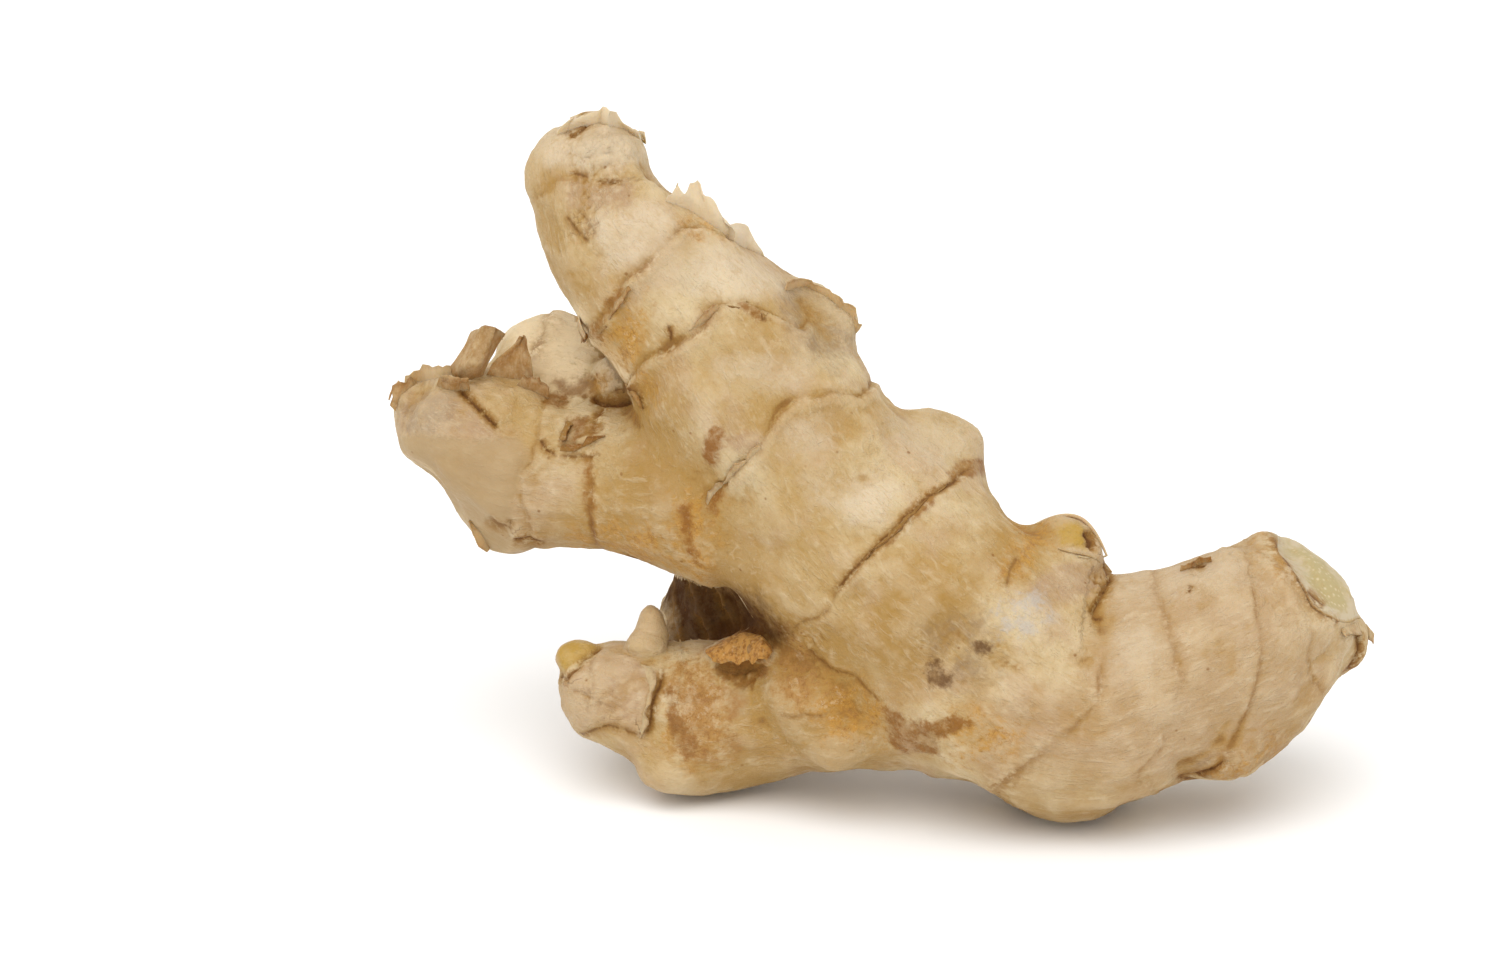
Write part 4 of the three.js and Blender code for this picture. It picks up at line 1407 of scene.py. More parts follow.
@dataclass
class Scraps:
    """The papery scales, flakes and fibres that stand off the skin, as one piece.

    Fields:
        skin: the skin that they grow from.
        spacing: the sheets' grain.
        thickness: how thick the sheets are.
        smooth_angle: the sharpest bend that is shaded smooth.
        depth_spread: how far the skin under a scrap may lie in front of or behind its middle.
        floor_gap: how high the lowest point of a sheet lies.
        remnant_points: how many points run across a remnant.
        remnant_ragged: how deep its edge is torn.
        remnant_seed: what the first remnant's number is.
        remnant_limit: how far from its finger's middle its root may lie, in half widths of the finger.
    """

    skin: Skin
    spacing: float = 0.55
    thickness: float = 0.2
    smooth_angle: float = math.radians(50)
    depth_spread: float = 14.0
    floor_gap: float = 0.2
    remnant_points: int = 24
    remnant_ragged: float = 0.6
    remnant_seed: int = 50
    remnant_limit: float = 1.5
    places: list[Array] = field(default_factory=list)
    faces: list[tuple[int, ...]] = field(default_factory=list)
    tints: list[Array] = field(default_factory=list)
    reaches: list[Array] = field(default_factory=list)

    def build(self) -> bpy.types.Object:
        """Makes the piece.

        Returns:
            The finished piece.
        """
        self.pixels, self.depth = CAMERA.picture_of(vertices_of(self.skin.object.data))
        for number, flap in enumerate(FLAPS):
            self._add_flap(flap, number)
        for number, remnant in enumerate(REMNANTS):
            self._add_remnant(remnant, number)
        mesh = bpy.data.meshes.new("papery_scraps")
        mesh.from_pydata([tuple(place * MM) for place in np.vstack(self.places)], [], self.faces)
        put_number(mesh, "tint", np.concatenate(self.tints))
        put_number(mesh, "reach", np.concatenate(self.reaches))
        sheets = add_object("papery_scraps", mesh)
        apply_modifier(sheets, "SOLIDIFY", thickness=self.thickness * MM, offset=0.0)
        select_only(sheets)
        bpy.ops.object.shade_smooth_by_angle(angle=self.smooth_angle)
        for strand in STRANDS:
            self._add_strand(strand, sheets)
        return sheets

    def _depths(self, points: Array) -> Array:
        """How deep the skin lies at each of some pixels, or the skin nearest to one that misses it.

        Args:
            points: the pixels, one row each.

        Returns:
            How far in front of the camera the skin is at each.
        """
        depths = np.empty(len(points))
        for index, pixel in enumerate(points[:, :2]):
            place = CAMERA.first_hit(self.skin.tree, pixel)
            if place is None:
                depths[index] = self.depth[((self.pixels - pixel) ** 2).sum(axis=1).argmin()]
            else:
                depths[index] = (place - CAMERA.place) @ CAMERA.forward
        close = np.flatnonzero(np.abs(depths - np.median(depths)) < self.depth_spread)
        return np.interp(np.arange(len(points)), close, depths[close])

    def _add_flap(self, flap: Flap, number: int) -> None:
        """Adds one flap.

        Args:
            flap: the flap.
            number: its place in the list, which seeds its torn edge.
        """
        lines = flap.lines
        length = lengths_along(lines[0][:, :2])[-1] * PIXEL_MM
        lines = [spread_evenly(line, max(4, int(length / self.spacing))) for line in lines]
        depths = self._depths(lines[0])
        self._add_sheet([CAMERA.lift(line, depths) for line in lines], flap.ragged, flap.tint, number)

    def _add_sheet(self, rows: list[Array], ragged: float, tint: float, number: int) -> None:
        """Adds a sheet with a crumpled face and a torn edge.

        Args:
            rows: lines of points across it, from its root to its torn edge.
            ragged: how deep that edge is torn.
            tint: its colour's number.
            number: what seeds its edge and its face.
        """
        stack = np.stack([2 * rows[0] - rows[1], *rows, 2 * rows[-1] - rows[-2]])
        made = []
        for before, start, end, after in zip(stack, stack[1:], stack[2:], stack[3:]):
            steps = max(2, int(np.linalg.norm(end - start, axis=1).mean() / self.spacing))
            shares = np.linspace(0.0, 1.0, steps, endpoint=False)
            made.extend(curve_between(before, start, end, after, t) for t in shares)
        sheet = np.stack([*made, rows[-1]])
        height, width, _ = sheet.shape
        reach = np.linspace(0.0, 1.0, height)[:, None] * np.ones(width)
        out = unit(sheet[-1] - sheet[-2])
        tear = ripples(sheet[-1], (100 + number, 4.5, 1.2), (200 + number, 2.0, 0.8), (400 + number, 0.9, 0.35))
        pull = (tear * ragged)[None, :, None] * (reach**2)[:, :, None] * out[None]
        crumple = ripples(sheet.reshape(-1, 3), (300 + number, 3.0, 0.28)).reshape(reach.shape)
        facing = unit(np.cross(np.gradient(sheet, axis=0), np.gradient(sheet, axis=1)))
        places = sheet + pull + facing * (crumple * reach)[:, :, None]
        places[:, :, 2] = np.maximum(places[:, :, 2], self.floor_gap)
        first = sum(len(part) for part in self.places)
        self.places.append(places.reshape(-1, 3))
        self.tints.append(np.full(reach.size, tint))
        self.reaches.append(reach.ravel())
        for row in range(height - 1):
            for column in range(width - 1):
                corner = first + row * width + column
                self.faces.append((corner, corner + 1, corner + width + 1, corner + width))

    def _add_remnant(self, remnant: Remnant, number: int) -> None:
        """Adds a torn scale on a hidden part of a ring, unless it would stretch into another finger.

        Args:
            remnant: the scale.
            number: its place in the list, which seeds its torn edge.
        """
        line = self.skin.lines[remnant.finger]
        angles = np.radians(np.linspace(remnant.start, remnant.start + remnant.sweep, self.remnant_points))
        rows = []
        for share, lift in ((0.0, -0.5), (0.4, 0.25 * remnant.lift), (1.0, remnant.lift)):
            index = int(np.argmin(np.abs(line.along - (remnant.along + remnant.length * share))))
            start, wide = line.points[index], line.sizes[index]
            row = []
            for angle in angles:
                out = math.cos(angle) * line.across[index] + math.sin(angle) * line.inward[index]
                place = cast(self.skin.tree, start, out)
                row.append((start + out * wide.mean() if place is None else place) + out * lift)
            rows.append(np.array(row))
        if np.linalg.norm(rows[0] - start, axis=1).max() > self.remnant_limit * wide.max():
            log.info("remnant %d would stretch into another finger and is left out", number)
            return
        self._add_sheet(rows, self.remnant_ragged, remnant.tint, self.remnant_seed + number)

    def _add_strand(self, strand: Strand, sheets: bpy.types.Object) -> None:
        """Adds one fibre as a thin tapering tube and joins it to the sheets.

        Args:
            strand: the fibre.
            sheets: the object that it becomes part of.
        """
        points = in_rows(strand.path, 3)
        places = CAMERA.lift(points, self._depths(points))
        curve = bpy.data.curves.new("strand", "CURVE")
        curve.dimensions = "3D"
        curve.bevel_depth = strand.thickness / 2 * MM
        curve.bevel_resolution = 2
        curve.resolution_u = 5
        curve.use_fill_caps = True
        spline = curve.splines.new("NURBS")
        spline.points.add(len(places) - 1)
        for point, place, share in zip(spline.points, places, np.linspace(0, 1, len(places))):
            point.co = (*(place * MM), 1.0)
            point.radius = 0.6 + 0.6 * math.sin(math.pi * share)
        spline.use_endpoint_u = True
        spline.order_u = 4
        select_only(add_object("strand", curve))
        bpy.ops.object.convert(target="MESH")
        tube = bpy.context.object
        count = len(tube.data.vertices)
        put_number(tube.data, "tint", np.full(count, strand.tint))
        put_number(tube.data, "reach", np.full(count, 0.5))
        select_only(sheets)
        tube.select_set(True)
        bpy.ops.object.join()


class Value:
    """A shader socket that Python's arithmetic works on."""

    def __init__(self, tree: "NodeMaker", socket: bpy.types.NodeSocket) -> None:
        """Wraps a socket of a material's tree."""
        self.tree = tree
        self.socket = socket

    def __add__(self, other: "Value | float") -> "Value":
        """The sum."""
        return self.tree.math("ADD", self, other)

    def __radd__(self, other: float) -> "Value":
        """The sum, from a number."""
        return self.tree.math("ADD", other, self)

    def __sub__(self, other: "Value | float") -> "Value":
        """The difference."""
        return self.tree.math("SUBTRACT", self, other)

    def __rsub__(self, other: float) -> "Value":
        """The difference, from a number."""
        return self.tree.math("SUBTRACT", other, self)

    def __mul__(self, other: "Value | float") -> "Value":
        """The product."""
        return self.tree.math("MULTIPLY", self, other)

    def __rmul__(self, other: float) -> "Value":
        """The product, from a number."""
        return self.tree.math("MULTIPLY", other, self)

    def __abs__(self) -> "Value":
        """The size without its sign."""
        return self.tree.math("ABSOLUTE", self)


class NodeMaker:
    """Adds nodes to one material."""

    def __init__(self, name: str) -> None:
        """Starts a material with a Principled shader.

        Args:
            name: the material's name.
        """
        self.material = bpy.data.materials.new(name)
        self.material.use_nodes = True
        self.nodes = self.material.node_tree.nodes
        self.links = self.material.node_tree.links
        self.shader = self.nodes["Principled BSDF"]

    def node(self, kind: str, settings: dict[str, object], inputs: dict[object, object]) -> bpy.types.Node:
        """Adds a node.

        Args:
            kind: the node's type.
            settings: its properties, such as a Math node's operation, which are set first.
            inputs: the number, colour or link of each socket, by its name or place.

        Returns:
            The node.
        """
        made = self.nodes.new(kind)
        for name, setting in settings.items():
            setattr(made, name, setting)
        for name, given in inputs.items():
            self.feed(made.inputs[name], given)
        return made

    def feed(self, socket: bpy.types.NodeSocket, given: object) -> None:
        """Links a value to a socket, or sets the socket to a number or colour.

        Args:
            socket: the socket.
            given: a value, a number, a colour or a vector.
        """
        if isinstance(given, Value):
            self.links.new(given.socket, socket)
        elif isinstance(given, tuple) and len(given) == 3 and len(socket.default_value) == 4:
            socket.default_value = (*given, 1.0)
        else:
            socket.default_value = given

    def math(self, operation: str, *parts: Value | float) -> Value:
        """A Math node's result."""
        made = self.node("ShaderNodeMath", {"operation": operation}, dict(enumerate(parts)))
        return Value(self, made.outputs[0])

    def number(self, name: str) -> Value:
        """A number that the mesh holds."""
        made = self.node("ShaderNodeAttribute", {"attribute_name": name}, {})
        return Value(self, made.outputs["Fac"])

    def vector(self, name: str) -> Value:
        """A vector that the mesh holds."""
        made = self.node("ShaderNodeAttribute", {"attribute_name": name}, {})
        return Value(self, made.outputs["Vector"])

    def on_object(self) -> Value:
        """The point on the object."""
        made = self.node("ShaderNodeTexCoord", {}, {})
        return self.stretch(Value(self, made.outputs["Object"]), (1 / MM, 1 / MM, 1 / MM))

    def stretch(self, vector: Value, by: Colour) -> Value:
        """A vector with each part multiplied."""
        made = self.node("ShaderNodeVectorMath", {"operation": "MULTIPLY"}, {0: vector, 1: by})
        return Value(self, made.outputs[0])

    def noise(
        self, vector: Value, size: float, detail: float = 2.0, rough: float = 0.5, twist: float = 0.0
    ) -> Value:
        """Cloudy noise between 0 and 1 whose lumps are about size across.

        Args:
            vector: where it is read.
            size: how big its lumps are.
            detail: how many finer layers it has.
            rough: how strong the finer layers are.
            twist: how much its lumps are swirled.

        Returns:
            The noise.
        """
        inputs = {"Vector": vector, "Scale": 1.0 / size, "Detail": detail, "Roughness": rough}
        made = self.node("ShaderNodeTexNoise", {}, {**inputs, "Distortion": twist})
        return Value(self, made.outputs["Fac"])

    def cells(self, vector: Value, size: float) -> Value:
        """The distance from the nearest of many scattered dots, about size apart."""
        made = self.node("ShaderNodeTexVoronoi", {"feature": "F1"}, {"Vector": vector, "Scale": 1.0 / size})
        return Value(self, made.outputs["Distance"])

    def ramp(self, value: Value, low: float, high: float, start: float = 0.0, end: float = 1.0) -> Value:
        """Rises smoothly from start to end as a value goes from low to high."""
        inputs = {"Value": value, "From Min": low, "From Max": high, "To Min": start, "To Max": end}
        made = self.node("ShaderNodeMapRange", {"interpolation_type": "SMOOTHSTEP"}, inputs)
        return Value(self, made.outputs[0])

    def mix(self, share: Value | float, first: Value | Colour, second: Value | Colour) -> Value:
        """A colour between two."""
        made = self.node("ShaderNodeMix", {"data_type": "RGBA"}, {0: share, 6: first, 7: second})
        return Value(self, made.outputs[2])

    def layers(self, colour: Value, *coats: tuple[Value, Value | Colour]) -> Value:
        """A colour with others laid over it in turn, each with the share that it covers."""
        for share, coat in coats:
            colour = self.mix(share, colour, coat)
        return colour

    def bump(self, height: Value) -> Value:
        """A normal from a height."""
        made = self.node("ShaderNodeBump", {}, {"Height": height, "Strength": 1.0, "Distance": MM})
        return Value(self, made.outputs["Normal"])

    def finish(self, **inputs: object) -> bpy.types.Material:
        """Sets the shader's sockets, with underscores for spaces in their names."""
        for name, given in inputs.items():
            self.feed(self.shader.inputs[name.replace("_", " ")], given)
        return self.material


@dataclass(frozen=True)
class MarkLook:
    """How one kind of patch looks.

    Fields:
        colour: its colour.
        strength: how much of it covers the skin in its middle.
        soft: how softly its edge fades.
        rag: how ragged that edge is.
        broken: how much of it is left out between its spots.
    """

    colour: Colour
    strength: float
    soft: float
    rag: float
    broken: float = 0.0


class SkinMaker(NodeMaker):
    """Adds nodes to the skin's material, and holds the noises that its layers share."""

    def __init__(self, name: str) -> None:
        """Starts the material with its noises, from the coarse to the fine ones.

        Args:
            name: the material's name.
        """
        super().__init__(name)
        self.place = self.on_object()
        self.straight = self.vector("straight")
        own = self.number("own")
        self.clouds = self.noise(self.place, 6.0, 4.0, 0.62)
        self.patches = self.noise(self.place, 2.6, 4.0, 0.65)
        self.jag = self.noise(self.place, 0.9, 4.0, 0.7)
        self.grain = self.noise(self.place, 0.32, 2.0, 0.6)
        joins = self.noise(self.place, 1.3, 3.0, 0.6, 0.8)
        self.wrinkles = joins * (1.0 - own) + self.drawn_out(0.38, 1.15, 3.0, 0.6, 0.8) * own
        self.threads = self.drawn_out(0.22, 0.42, 2.0, 0.55, 0.5)
        self.threaded = self.ramp(self.clouds, 0.46, 0.60) * own
        curled = self.ramp(self.noise(self.place, 3.2, 3.0, 0.6), 0.42, 0.58) * own
        self.curls = self.ramp(abs(self.drawn_out(0.45, 1.25, 2.0, 0.55, 0.6) - 0.5), 0.05, 0.0) * curled

    def drawn_out(self, share: float, size: float, detail: float, rough: float, twist: float) -> Value:
        """Noise that is drawn out along each finger, more so with a smaller share."""
        return self.noise(self.stretch(self.straight, (1.0, 1.0, share)), size, detail, rough, twist)

    def broken(self, jagged: float, low: float, high: float, least: float = 0.0) -> Value:
        """Breaks a layer up into spots, down to its least share between them."""
        return self.ramp(self.jag * jagged + self.patches * (1.0 - jagged), low, high, least, 1.0)

    def share(self, mark: Mark, look: MarkLook) -> Value:
        """How strongly a kind of patch covers each point."""
        ragged = (self.jag - 0.5) * (look.rag * 0.7) + (self.patches - 0.5) * look.rag
        share = self.ramp(self.number(mark.value) + ragged, -look.soft, look.soft) * look.strength
        return share * self.broken(0.3, 0.40, 0.58, 1.0 - look.broken) if look.broken else share


@dataclass(frozen=True)
class SkinFinish:
    """Thin dry skin over pale flesh, with faint wrinkles along each finger and brown rings.

    A ramp's two numbers are where a layer starts and where it is full, and the number after it is its strength.
    """

    cream: Colour = (0.550, 0.425, 0.245)
    tan: Colour = (0.425, 0.280, 0.112)
    blush: Colour = (0.450, 0.305, 0.180)
    ochre: Colour = (0.355, 0.198, 0.044)
    brown: Colour = (0.210, 0.088, 0.016)
    ink: Colour = (0.125, 0.046, 0.009)
    chalk: Colour = (0.620, 0.500, 0.330)
    russet: Colour = (0.270, 0.125, 0.045)
    heart: Colour = (0.385, 0.305, 0.128)
    heart_dots: Colour = (0.620, 0.520, 0.350)
    flesh_blots: Colour = (0.380, 0.270, 0.095)
    # These lie under the clouds, wrinkles and grain, and the other marks lie over them.
    soft_marks: tuple[Mark, ...] = (Mark.OCHRE, Mark.BLUSH, Mark.PALE, Mark.LIGHT, Mark.PINK, Mark.GREY)
    marks: dict[Mark, MarkLook] = field(
        default_factory=lambda: {
            # Ochre skin, with painted shade on undersides, edges and joins.
            Mark.OCHRE: MarkLook((0.328, 0.180, 0.036), 0.76, 5.0, 5.0),
            Mark.BLUSH: MarkLook((0.410, 0.276, 0.155), 0.75, 5.0, 4.0),
            Mark.PALE: MarkLook((0.590, 0.480, 0.340), 0.78, 2.0, 3.0, 0.2),
            # Painted light, much paler than the skin.
            Mark.LIGHT: MarkLook((0.800, 0.640, 0.410), 0.85, 2.0, 2.0),
            Mark.PINK: MarkLook((0.385, 0.250, 0.145), 0.80, 1.2, 3.0, 0.3),
            Mark.GREY: MarkLook((0.215, 0.138, 0.078), 0.66, 2.5, 4.5, 0.4),
            Mark.SMOOTH: MarkLook((0.365, 0.250, 0.124), 0.70, 0.8, 1.6),
            # Whitish scuffed skin, and painted highlights.
            Mark.SCUFF: MarkLook((0.540, 0.430, 0.290), 0.58, 2.2, 4.5, 0.4),
            # Painted highlight.
            Mark.SHEEN: MarkLook((0.465, 0.412, 0.350), 0.78, 1.6, 5.0, 0.85),
            Mark.ORANGE: MarkLook((0.450, 0.232, 0.043), 0.82, 2.5, 8.0, 0.8),
            # Brown stains, and painted shade under the crumbly knob.
            Mark.STAIN: MarkLook((0.222, 0.087, 0.011), 0.86, 0.5, 1.8, 0.5),
            Mark.CRUST: MarkLook((0.240, 0.095, 0.015), 0.95, 0.7, 2.2, 0.35),
            Mark.BUD: MarkLook((0.415, 0.248, 0.036), 0.90, 0.7, 0.8, 0.2),
            Mark.FLESH: MarkLook((0.500, 0.412, 0.275), 1.0, 0.12, 0.25),
            Mark.DARK: MarkLook((0.105, 0.042, 0.011), 0.82, 0.7, 3.0, 0.6),
            Mark.RUSSET: MarkLook((0.290, 0.148, 0.052), 0.56, 1.5, 6.0, 0.95),
            # Painted shade, almost black, for the gaps between fingers.
            Mark.GLOOM: MarkLook((0.060, 0.018, 0.000), 0.97, 2.0, 3.0, 0.1),
        }
    )

    def material(self) -> bpy.types.Material:
        """Makes the material.

        Returns:
            The material.
        """
        m = SkinMaker("ginger_skin")
        shares = {mark: m.share(mark, look) for mark, look in self.marks.items()}
        colours = {mark: look.colour for mark, look in self.marks.items()}
        colours[Mark.FLESH] = self._flesh(m, colours[Mark.FLESH])
        over = [mark for mark in self.marks if mark not in self.soft_marks]
        colour = m.mix(m.ramp(m.noise(m.place, 15.0, 2.0, 0.5), 0.36, 0.64), self.tan, self.cream)
        colour = m.mix(m.ramp(m.noise(m.place, 8.5, 3.0, 0.55), 0.46, 0.66) * 0.60, colour, self.blush)
        colour = m.layers(colour, *((shares[mark], colours[mark]) for mark in self.soft_marks))
        # The clouds, wrinkles and grain fade under the painted light.
        lively = 1.0 - shares[Mark.LIGHT] * 0.8
        colour = self._texture(m, colour, lively)
        colour = m.layers(colour, *((shares[mark], colours[mark]) for mark in over))
        colour = self._hidden_blots(m, colour)
        colour = self._cracked(m, colour, shares[Mark.ORANGE])
        colour = self._lines(m, colour)
        specks = m.ramp(m.cells(m.place, 3.1), 0.12, 0.05) * m.ramp(m.clouds, 0.50, 0.60) * 0.7
        plain = (1.0 - shares[Mark.SMOOTH] * 0.8) * (1.0 - shares[Mark.FLESH] * 0.8)
        return m.finish(
            Base_Color=m.mix(specks, colour, self.brown),
            Roughness=0.68 - m.wrinkles * 0.22 + (1.0 - plain) * 0.05 + shares[Mark.GLOOM] * 0.4,
            Normal=m.bump(self._height(m, plain)),
            Specular_IOR_Level=0.16,
            Subsurface_Weight=0.12,
            Subsurface_Radius=(0.0030, 0.0016, 0.0008),
            Subsurface_Scale=1.0,
        )

    def _texture(self, m: SkinMaker, colour: Value, lively: Value) -> Value:
        """Lays clouds, wrinkles, threads and grain over a colour, with painted shade in the hollows and painted
        light on the ridges.

        Args:
            m: what makes the nodes.
            colour: the colour under them.
            lively: how strong they are, from 0 to 1.

        Returns:
            The new colour.
        """
        hollow = m.number("hollow")
        blurred = hollow + (m.patches - 0.5) * 0.5
        return m.layers(
            colour,
            (m.ramp(m.clouds, 0.52, 0.32) * lively * 0.36, self.ochre),
            (m.ramp(m.patches, 0.55, 0.75) * lively * 0.16, self.ochre),
            (m.ramp(m.patches, 0.42, 0.25) * lively * 0.25, self.chalk),
            (m.ramp(m.wrinkles, 0.54, 0.72) * 0.30, self.chalk),
            (m.ramp(m.wrinkles, 0.46, 0.28) * lively * 0.35, self.ochre),
            (m.ramp(m.threads, 0.57, 0.70) * m.threaded * 0.23, self.chalk),
            (m.ramp(m.threads, 0.43, 0.30) * m.threaded * 0.30, self.ochre),
            (m.curls * 0.12, self.chalk),
            (m.ramp(m.grain, 0.60, 0.80) * 0.25, self.brown),
            # Painted shade: the hollows are warmed to ochre and darkened to brown. Painted light: the ridges
            # are paled to chalk.
            (m.ramp(blurred, 0.0, 0.9) * lively * 0.60, self.ochre),
            (m.ramp(hollow + (m.jag - 0.5) * 0.9, 0.5, 1.3) * 0.75, self.brown),
            (m.ramp(blurred, -0.2, -1.0) * 0.25, self.chalk),
        )

    def _hidden_blots(self, m: SkinMaker, colour: Value) -> Value:
        """Lays made-up blots over a colour where the photo's camera doesn't see the skin.

        Args:
            m: what makes the nodes.
            colour: the colour under them.

        Returns:
            The new colour.
        """
        hidden = m.ramp(m.number("shown") + (m.patches - 0.5), 0.6, 0.2)
        for size, low, mark in ((9.0, 0.54, Mark.PINK), (7.0, 0.57, Mark.ORANGE), (5.5, 0.61, Mark.STAIN)):
            blot = m.ramp(m.noise(m.place, size, 5.0, 0.62), low, low + 0.07) * hidden * 0.7
            colour = m.mix(blot * m.broken(0.3, 0.38, 0.55, 0.3), colour, self.marks[mark].colour)
        return colour

    def _cracked(self, m: SkinMaker, colour: Value, orange: Value) -> Value:
        """Flecks and cracks the orange patches.

        Args:
            m: what makes the nodes.
            colour: the colour under them.
            orange: how orange each point is, from 0 to 1.

        Returns:
            The new colour.
        """
        flecks = m.noise(m.place, 1.6, 5.0, 0.75)
        cracks = m.ramp(abs(m.noise(m.place, 2.2, 3.0, 0.65, 0.7) - 0.5), 0.028, 0.0)
        return m.layers(
            colour,
            (m.ramp(flecks, 0.45, 0.36) * orange * 0.45, self.chalk),
            (m.ramp(flecks, 0.52, 0.62) * orange * 0.60, self.russet),
            (cracks * orange * 0.6, self.brown),
        )

    def _flesh(self, m: SkinMaker, pale: Colour) -> Value:
        """The sawn face: pale dry flesh with a speckled yellow-green heart and a darker rim.

        Args:
            m: what makes the nodes.
            pale: the colour of its dry part.

        Returns:
            Its colour.
        """
        depth = m.number(Mark.FLESH.value)
        heart = m.ramp(depth + (m.noise(m.place, 2.0, 3.0) - 0.5) * 3.0, 1.2, 2.6)
        dots = m.ramp(m.cells(m.place, 0.85), 0.42, 0.12)
        rim = m.ramp(depth + (m.noise(m.place, 0.8, 3.0) - 0.5) * 0.8, 0.55, 0.05)
        return m.layers(
            m.mix(heart * 0.75, pale, self.heart),
            (dots * heart * 0.6, self.heart_dots),
            (m.ramp(m.noise(m.place, 1.1, 3.0), 0.52, 0.72) * 0.45, self.flesh_blots),
            (rim * 0.7, self.ochre),
        )

    def _lines(self, m: SkinMaker, colour: Value) -> Value:
        """Draws the rings and creases over a colour, thin, broken and with a warm edge.

        Args:
            m: what makes the nodes.
            colour: the colour under them.

        Returns:
            The new colour.
        """
        for kind, width, wobble, spread, core in (
            ("ring", 0.42, 1.3, 2.8, self.brown),
            ("trace", 0.34, 0.5, 1.9, self.ink),
        ):
            gap = m.number(f"{kind}_gap") + (m.jag - 0.5) * wobble
            far = m.number(f"{kind}_far")
            ink = m.number(f"{kind}_ink")
            broken = m.broken(0.4, 0.40, 0.54)
            halo = m.ramp(far + (m.patches - 0.5) * 4.0, spread, 0.0) * ink * broken
            line = m.ramp(abs(gap), width, 0.04) * ink * m.ramp(far, 2.4, 1.6) * (broken * 0.75 + 0.25)
            colour = m.layers(
                colour,
                (m.math("MINIMUM", halo, 0.85), self.ochre),
                (m.math("MINIMUM", halo * m.ramp(far, 1.3, 0.2), 0.7), self.brown),
                (m.math("MINIMUM", line, 0.9), core),
            )
        return colour

    def _height(self, m: SkinMaker, plain: Value) -> Value:
        """The finest relief: wrinkles and grain, fainter where the skin is plain, and the cut of each line.

        Args:
            m: what makes the nodes.
            plain: how strong the wrinkles and grain are, from 0 to 1.

        Returns:
            The height of each point.
        """
        fine = m.wrinkles * 0.36 + m.threads * m.threaded * 0.08 + m.curls * 0.05
        height = (fine + m.jag * 0.22 + m.grain * 0.07) * plain
        for kind, deep in (("ring", 0.08), ("trace", 0.12)):
            cut = m.ramp(abs(m.number(f"{kind}_gap") + (m.jag - 0.5) * 0.6), 0.5, 0.0) * m.number(f"{kind}_ink")
            height = height - cut * m.ramp(m.number(f"{kind}_far"), 2.4, 1.6) * deep
        return height


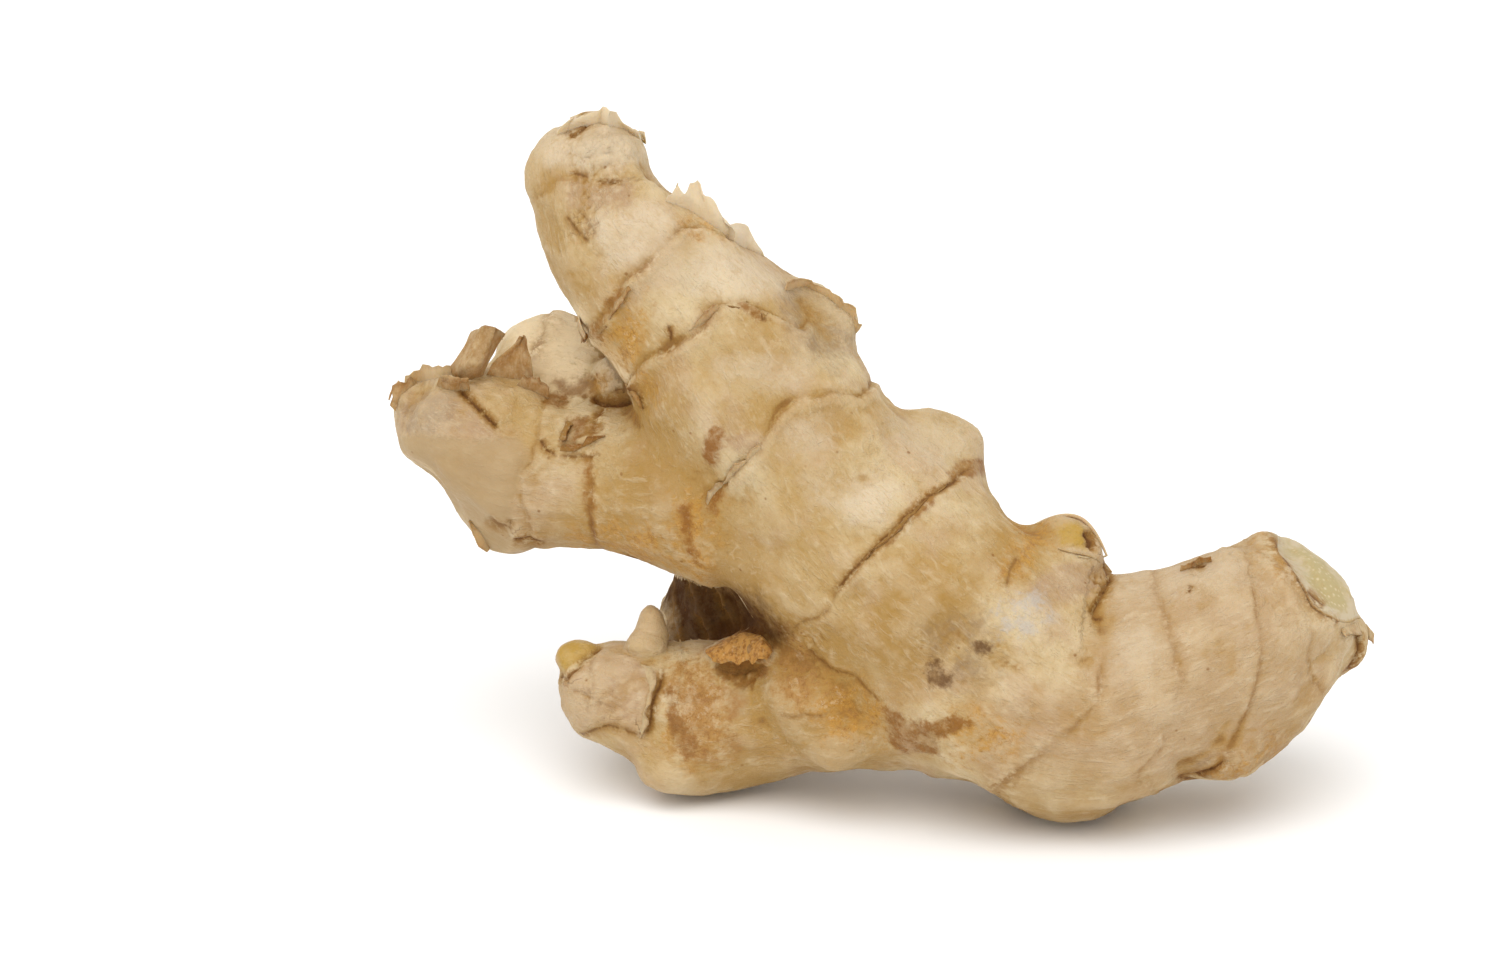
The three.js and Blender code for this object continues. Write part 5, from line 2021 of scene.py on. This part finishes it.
@dataclass(frozen=True)
class PaperFinish:
    """Dry papery scale, paler at its root and browner at its torn edge."""

    straw: Colour = (0.50, 0.36, 0.205)
    brown: Colour = (0.265, 0.135, 0.032)
    edge: Colour = (0.16, 0.072, 0.019)
    rust: Colour = (0.440, 0.215, 0.052)
    rust_dark: Colour = (0.240, 0.100, 0.018)
    pale: Colour = (0.600, 0.472, 0.325)
    fibre: Colour = (0.62, 0.50, 0.32)

    def material(self) -> bpy.types.Material:
        """Makes the material.

        Returns:
            The material.
        """
        m = NodeMaker("ginger_paper")
        place = m.on_object()
        blotches = m.noise(place, 1.6, 4.0, 0.65)
        fibres = m.noise(m.stretch(place, (1.0, 1.0, 0.3)), 0.4, 3.0, 0.6)
        tint = m.number("tint")
        torn = m.ramp(m.number("reach") + (blotches - 0.5) * 0.6, 0.72, 1.05) * (tint * 0.5 + 0.3)
        crust = m.mix(m.ramp(m.noise(place, 0.8, 4.0, 0.7), 0.56, 0.38), self.rust, self.rust_dark)
        colour = m.layers(
            m.mix(m.ramp(tint + (blotches - 0.5) * 1.1, 0.1, 0.95), self.straw, self.brown),
            (torn, self.edge),
            (m.ramp(tint, 1.2, 1.8), crust),
            (m.ramp(tint, -0.3, -0.8), self.pale),
            (m.ramp(fibres, 0.5, 0.75) * 0.25, self.fibre),
        )
        return m.finish(
            Base_Color=colour,
            Roughness=0.6 + fibres * 0.15,
            Normal=m.bump(fibres * 0.12 + blotches * 0.25),
            Specular_IOR_Level=0.2,
            Subsurface_Weight=0.25,
            Subsurface_Radius=(0.0020, 0.0011, 0.0005),
            Subsurface_Scale=1.0,
        )


@dataclass(frozen=True)
class Studio:
    """The pale floor, the soft light and the camera."""

    floor_size: float = 6.0  # in metres
    floor_white: Colour = (0.92, 0.92, 0.92)
    key_from: Colour = (-0.12, -0.5, 1.0)
    key_energy: float = 1.8
    key_spread: float = math.radians(60)
    sky: tuple[float, ...] = (1.0, 0.99, 0.97, 1.0)
    sky_strength: float = 0.9

    def build(self) -> None:
        """Puts the floor, lights and camera in the scene."""
        CAMERA.add()
        self._floor()
        self._light()

    def _floor(self) -> None:
        """A plain white floor."""
        bpy.ops.object.select_all(action="DESELECT")
        bpy.ops.mesh.primitive_plane_add(size=self.floor_size, location=(0.0, 0.0, 0.0))
        floor = bpy.context.object
        floor.name = "studio_floor"
        white = NodeMaker("studio_white").finish(Base_Color=self.floor_white, Roughness=0.9)
        floor.data.materials.append(white)

    def _light(self) -> None:
        """A broad key light from the upper left and an even sky."""
        key = bpy.data.lights.new("key", "SUN")
        key.energy = self.key_energy
        key.angle = self.key_spread
        add_object("key", key).rotation_euler = Vector(self.key_from).to_track_quat("Z", "Y").to_euler()
        scene = bpy.context.scene
        scene.world = scene.world or bpy.data.worlds.new("studio_sky")
        scene.world.use_nodes = True
        background = scene.world.node_tree.nodes["Background"]
        background.inputs["Color"].default_value = self.sky
        background.inputs["Strength"].default_value = self.sky_strength
        scene.view_settings.view_transform = "Standard"


def declare(piece: bpy.types.Object) -> None:
    """Ties a piece to the solid that it stands for.

    Args:
        piece: the piece.
    """
    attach(piece, BODY)
    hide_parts(NODE)
    log.info("%s: %d faces", piece.name, len(piece.data.polygons))


def main() -> None:
    """Builds the root and its studio."""
    Studio().build()
    skin = Skin()
    body = skin.build(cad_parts[NODE])
    body.data.materials.clear()
    body.data.materials.append(SkinFinish().material())
    declare(body)
    scraps = Scraps(skin).build()
    scraps.data.materials.append(PaperFinish().material())
    declare(scraps)


if __name__ == "__main__":
    logging.basicConfig(level=logging.INFO, format="%(name)s: %(message)s")
    main()
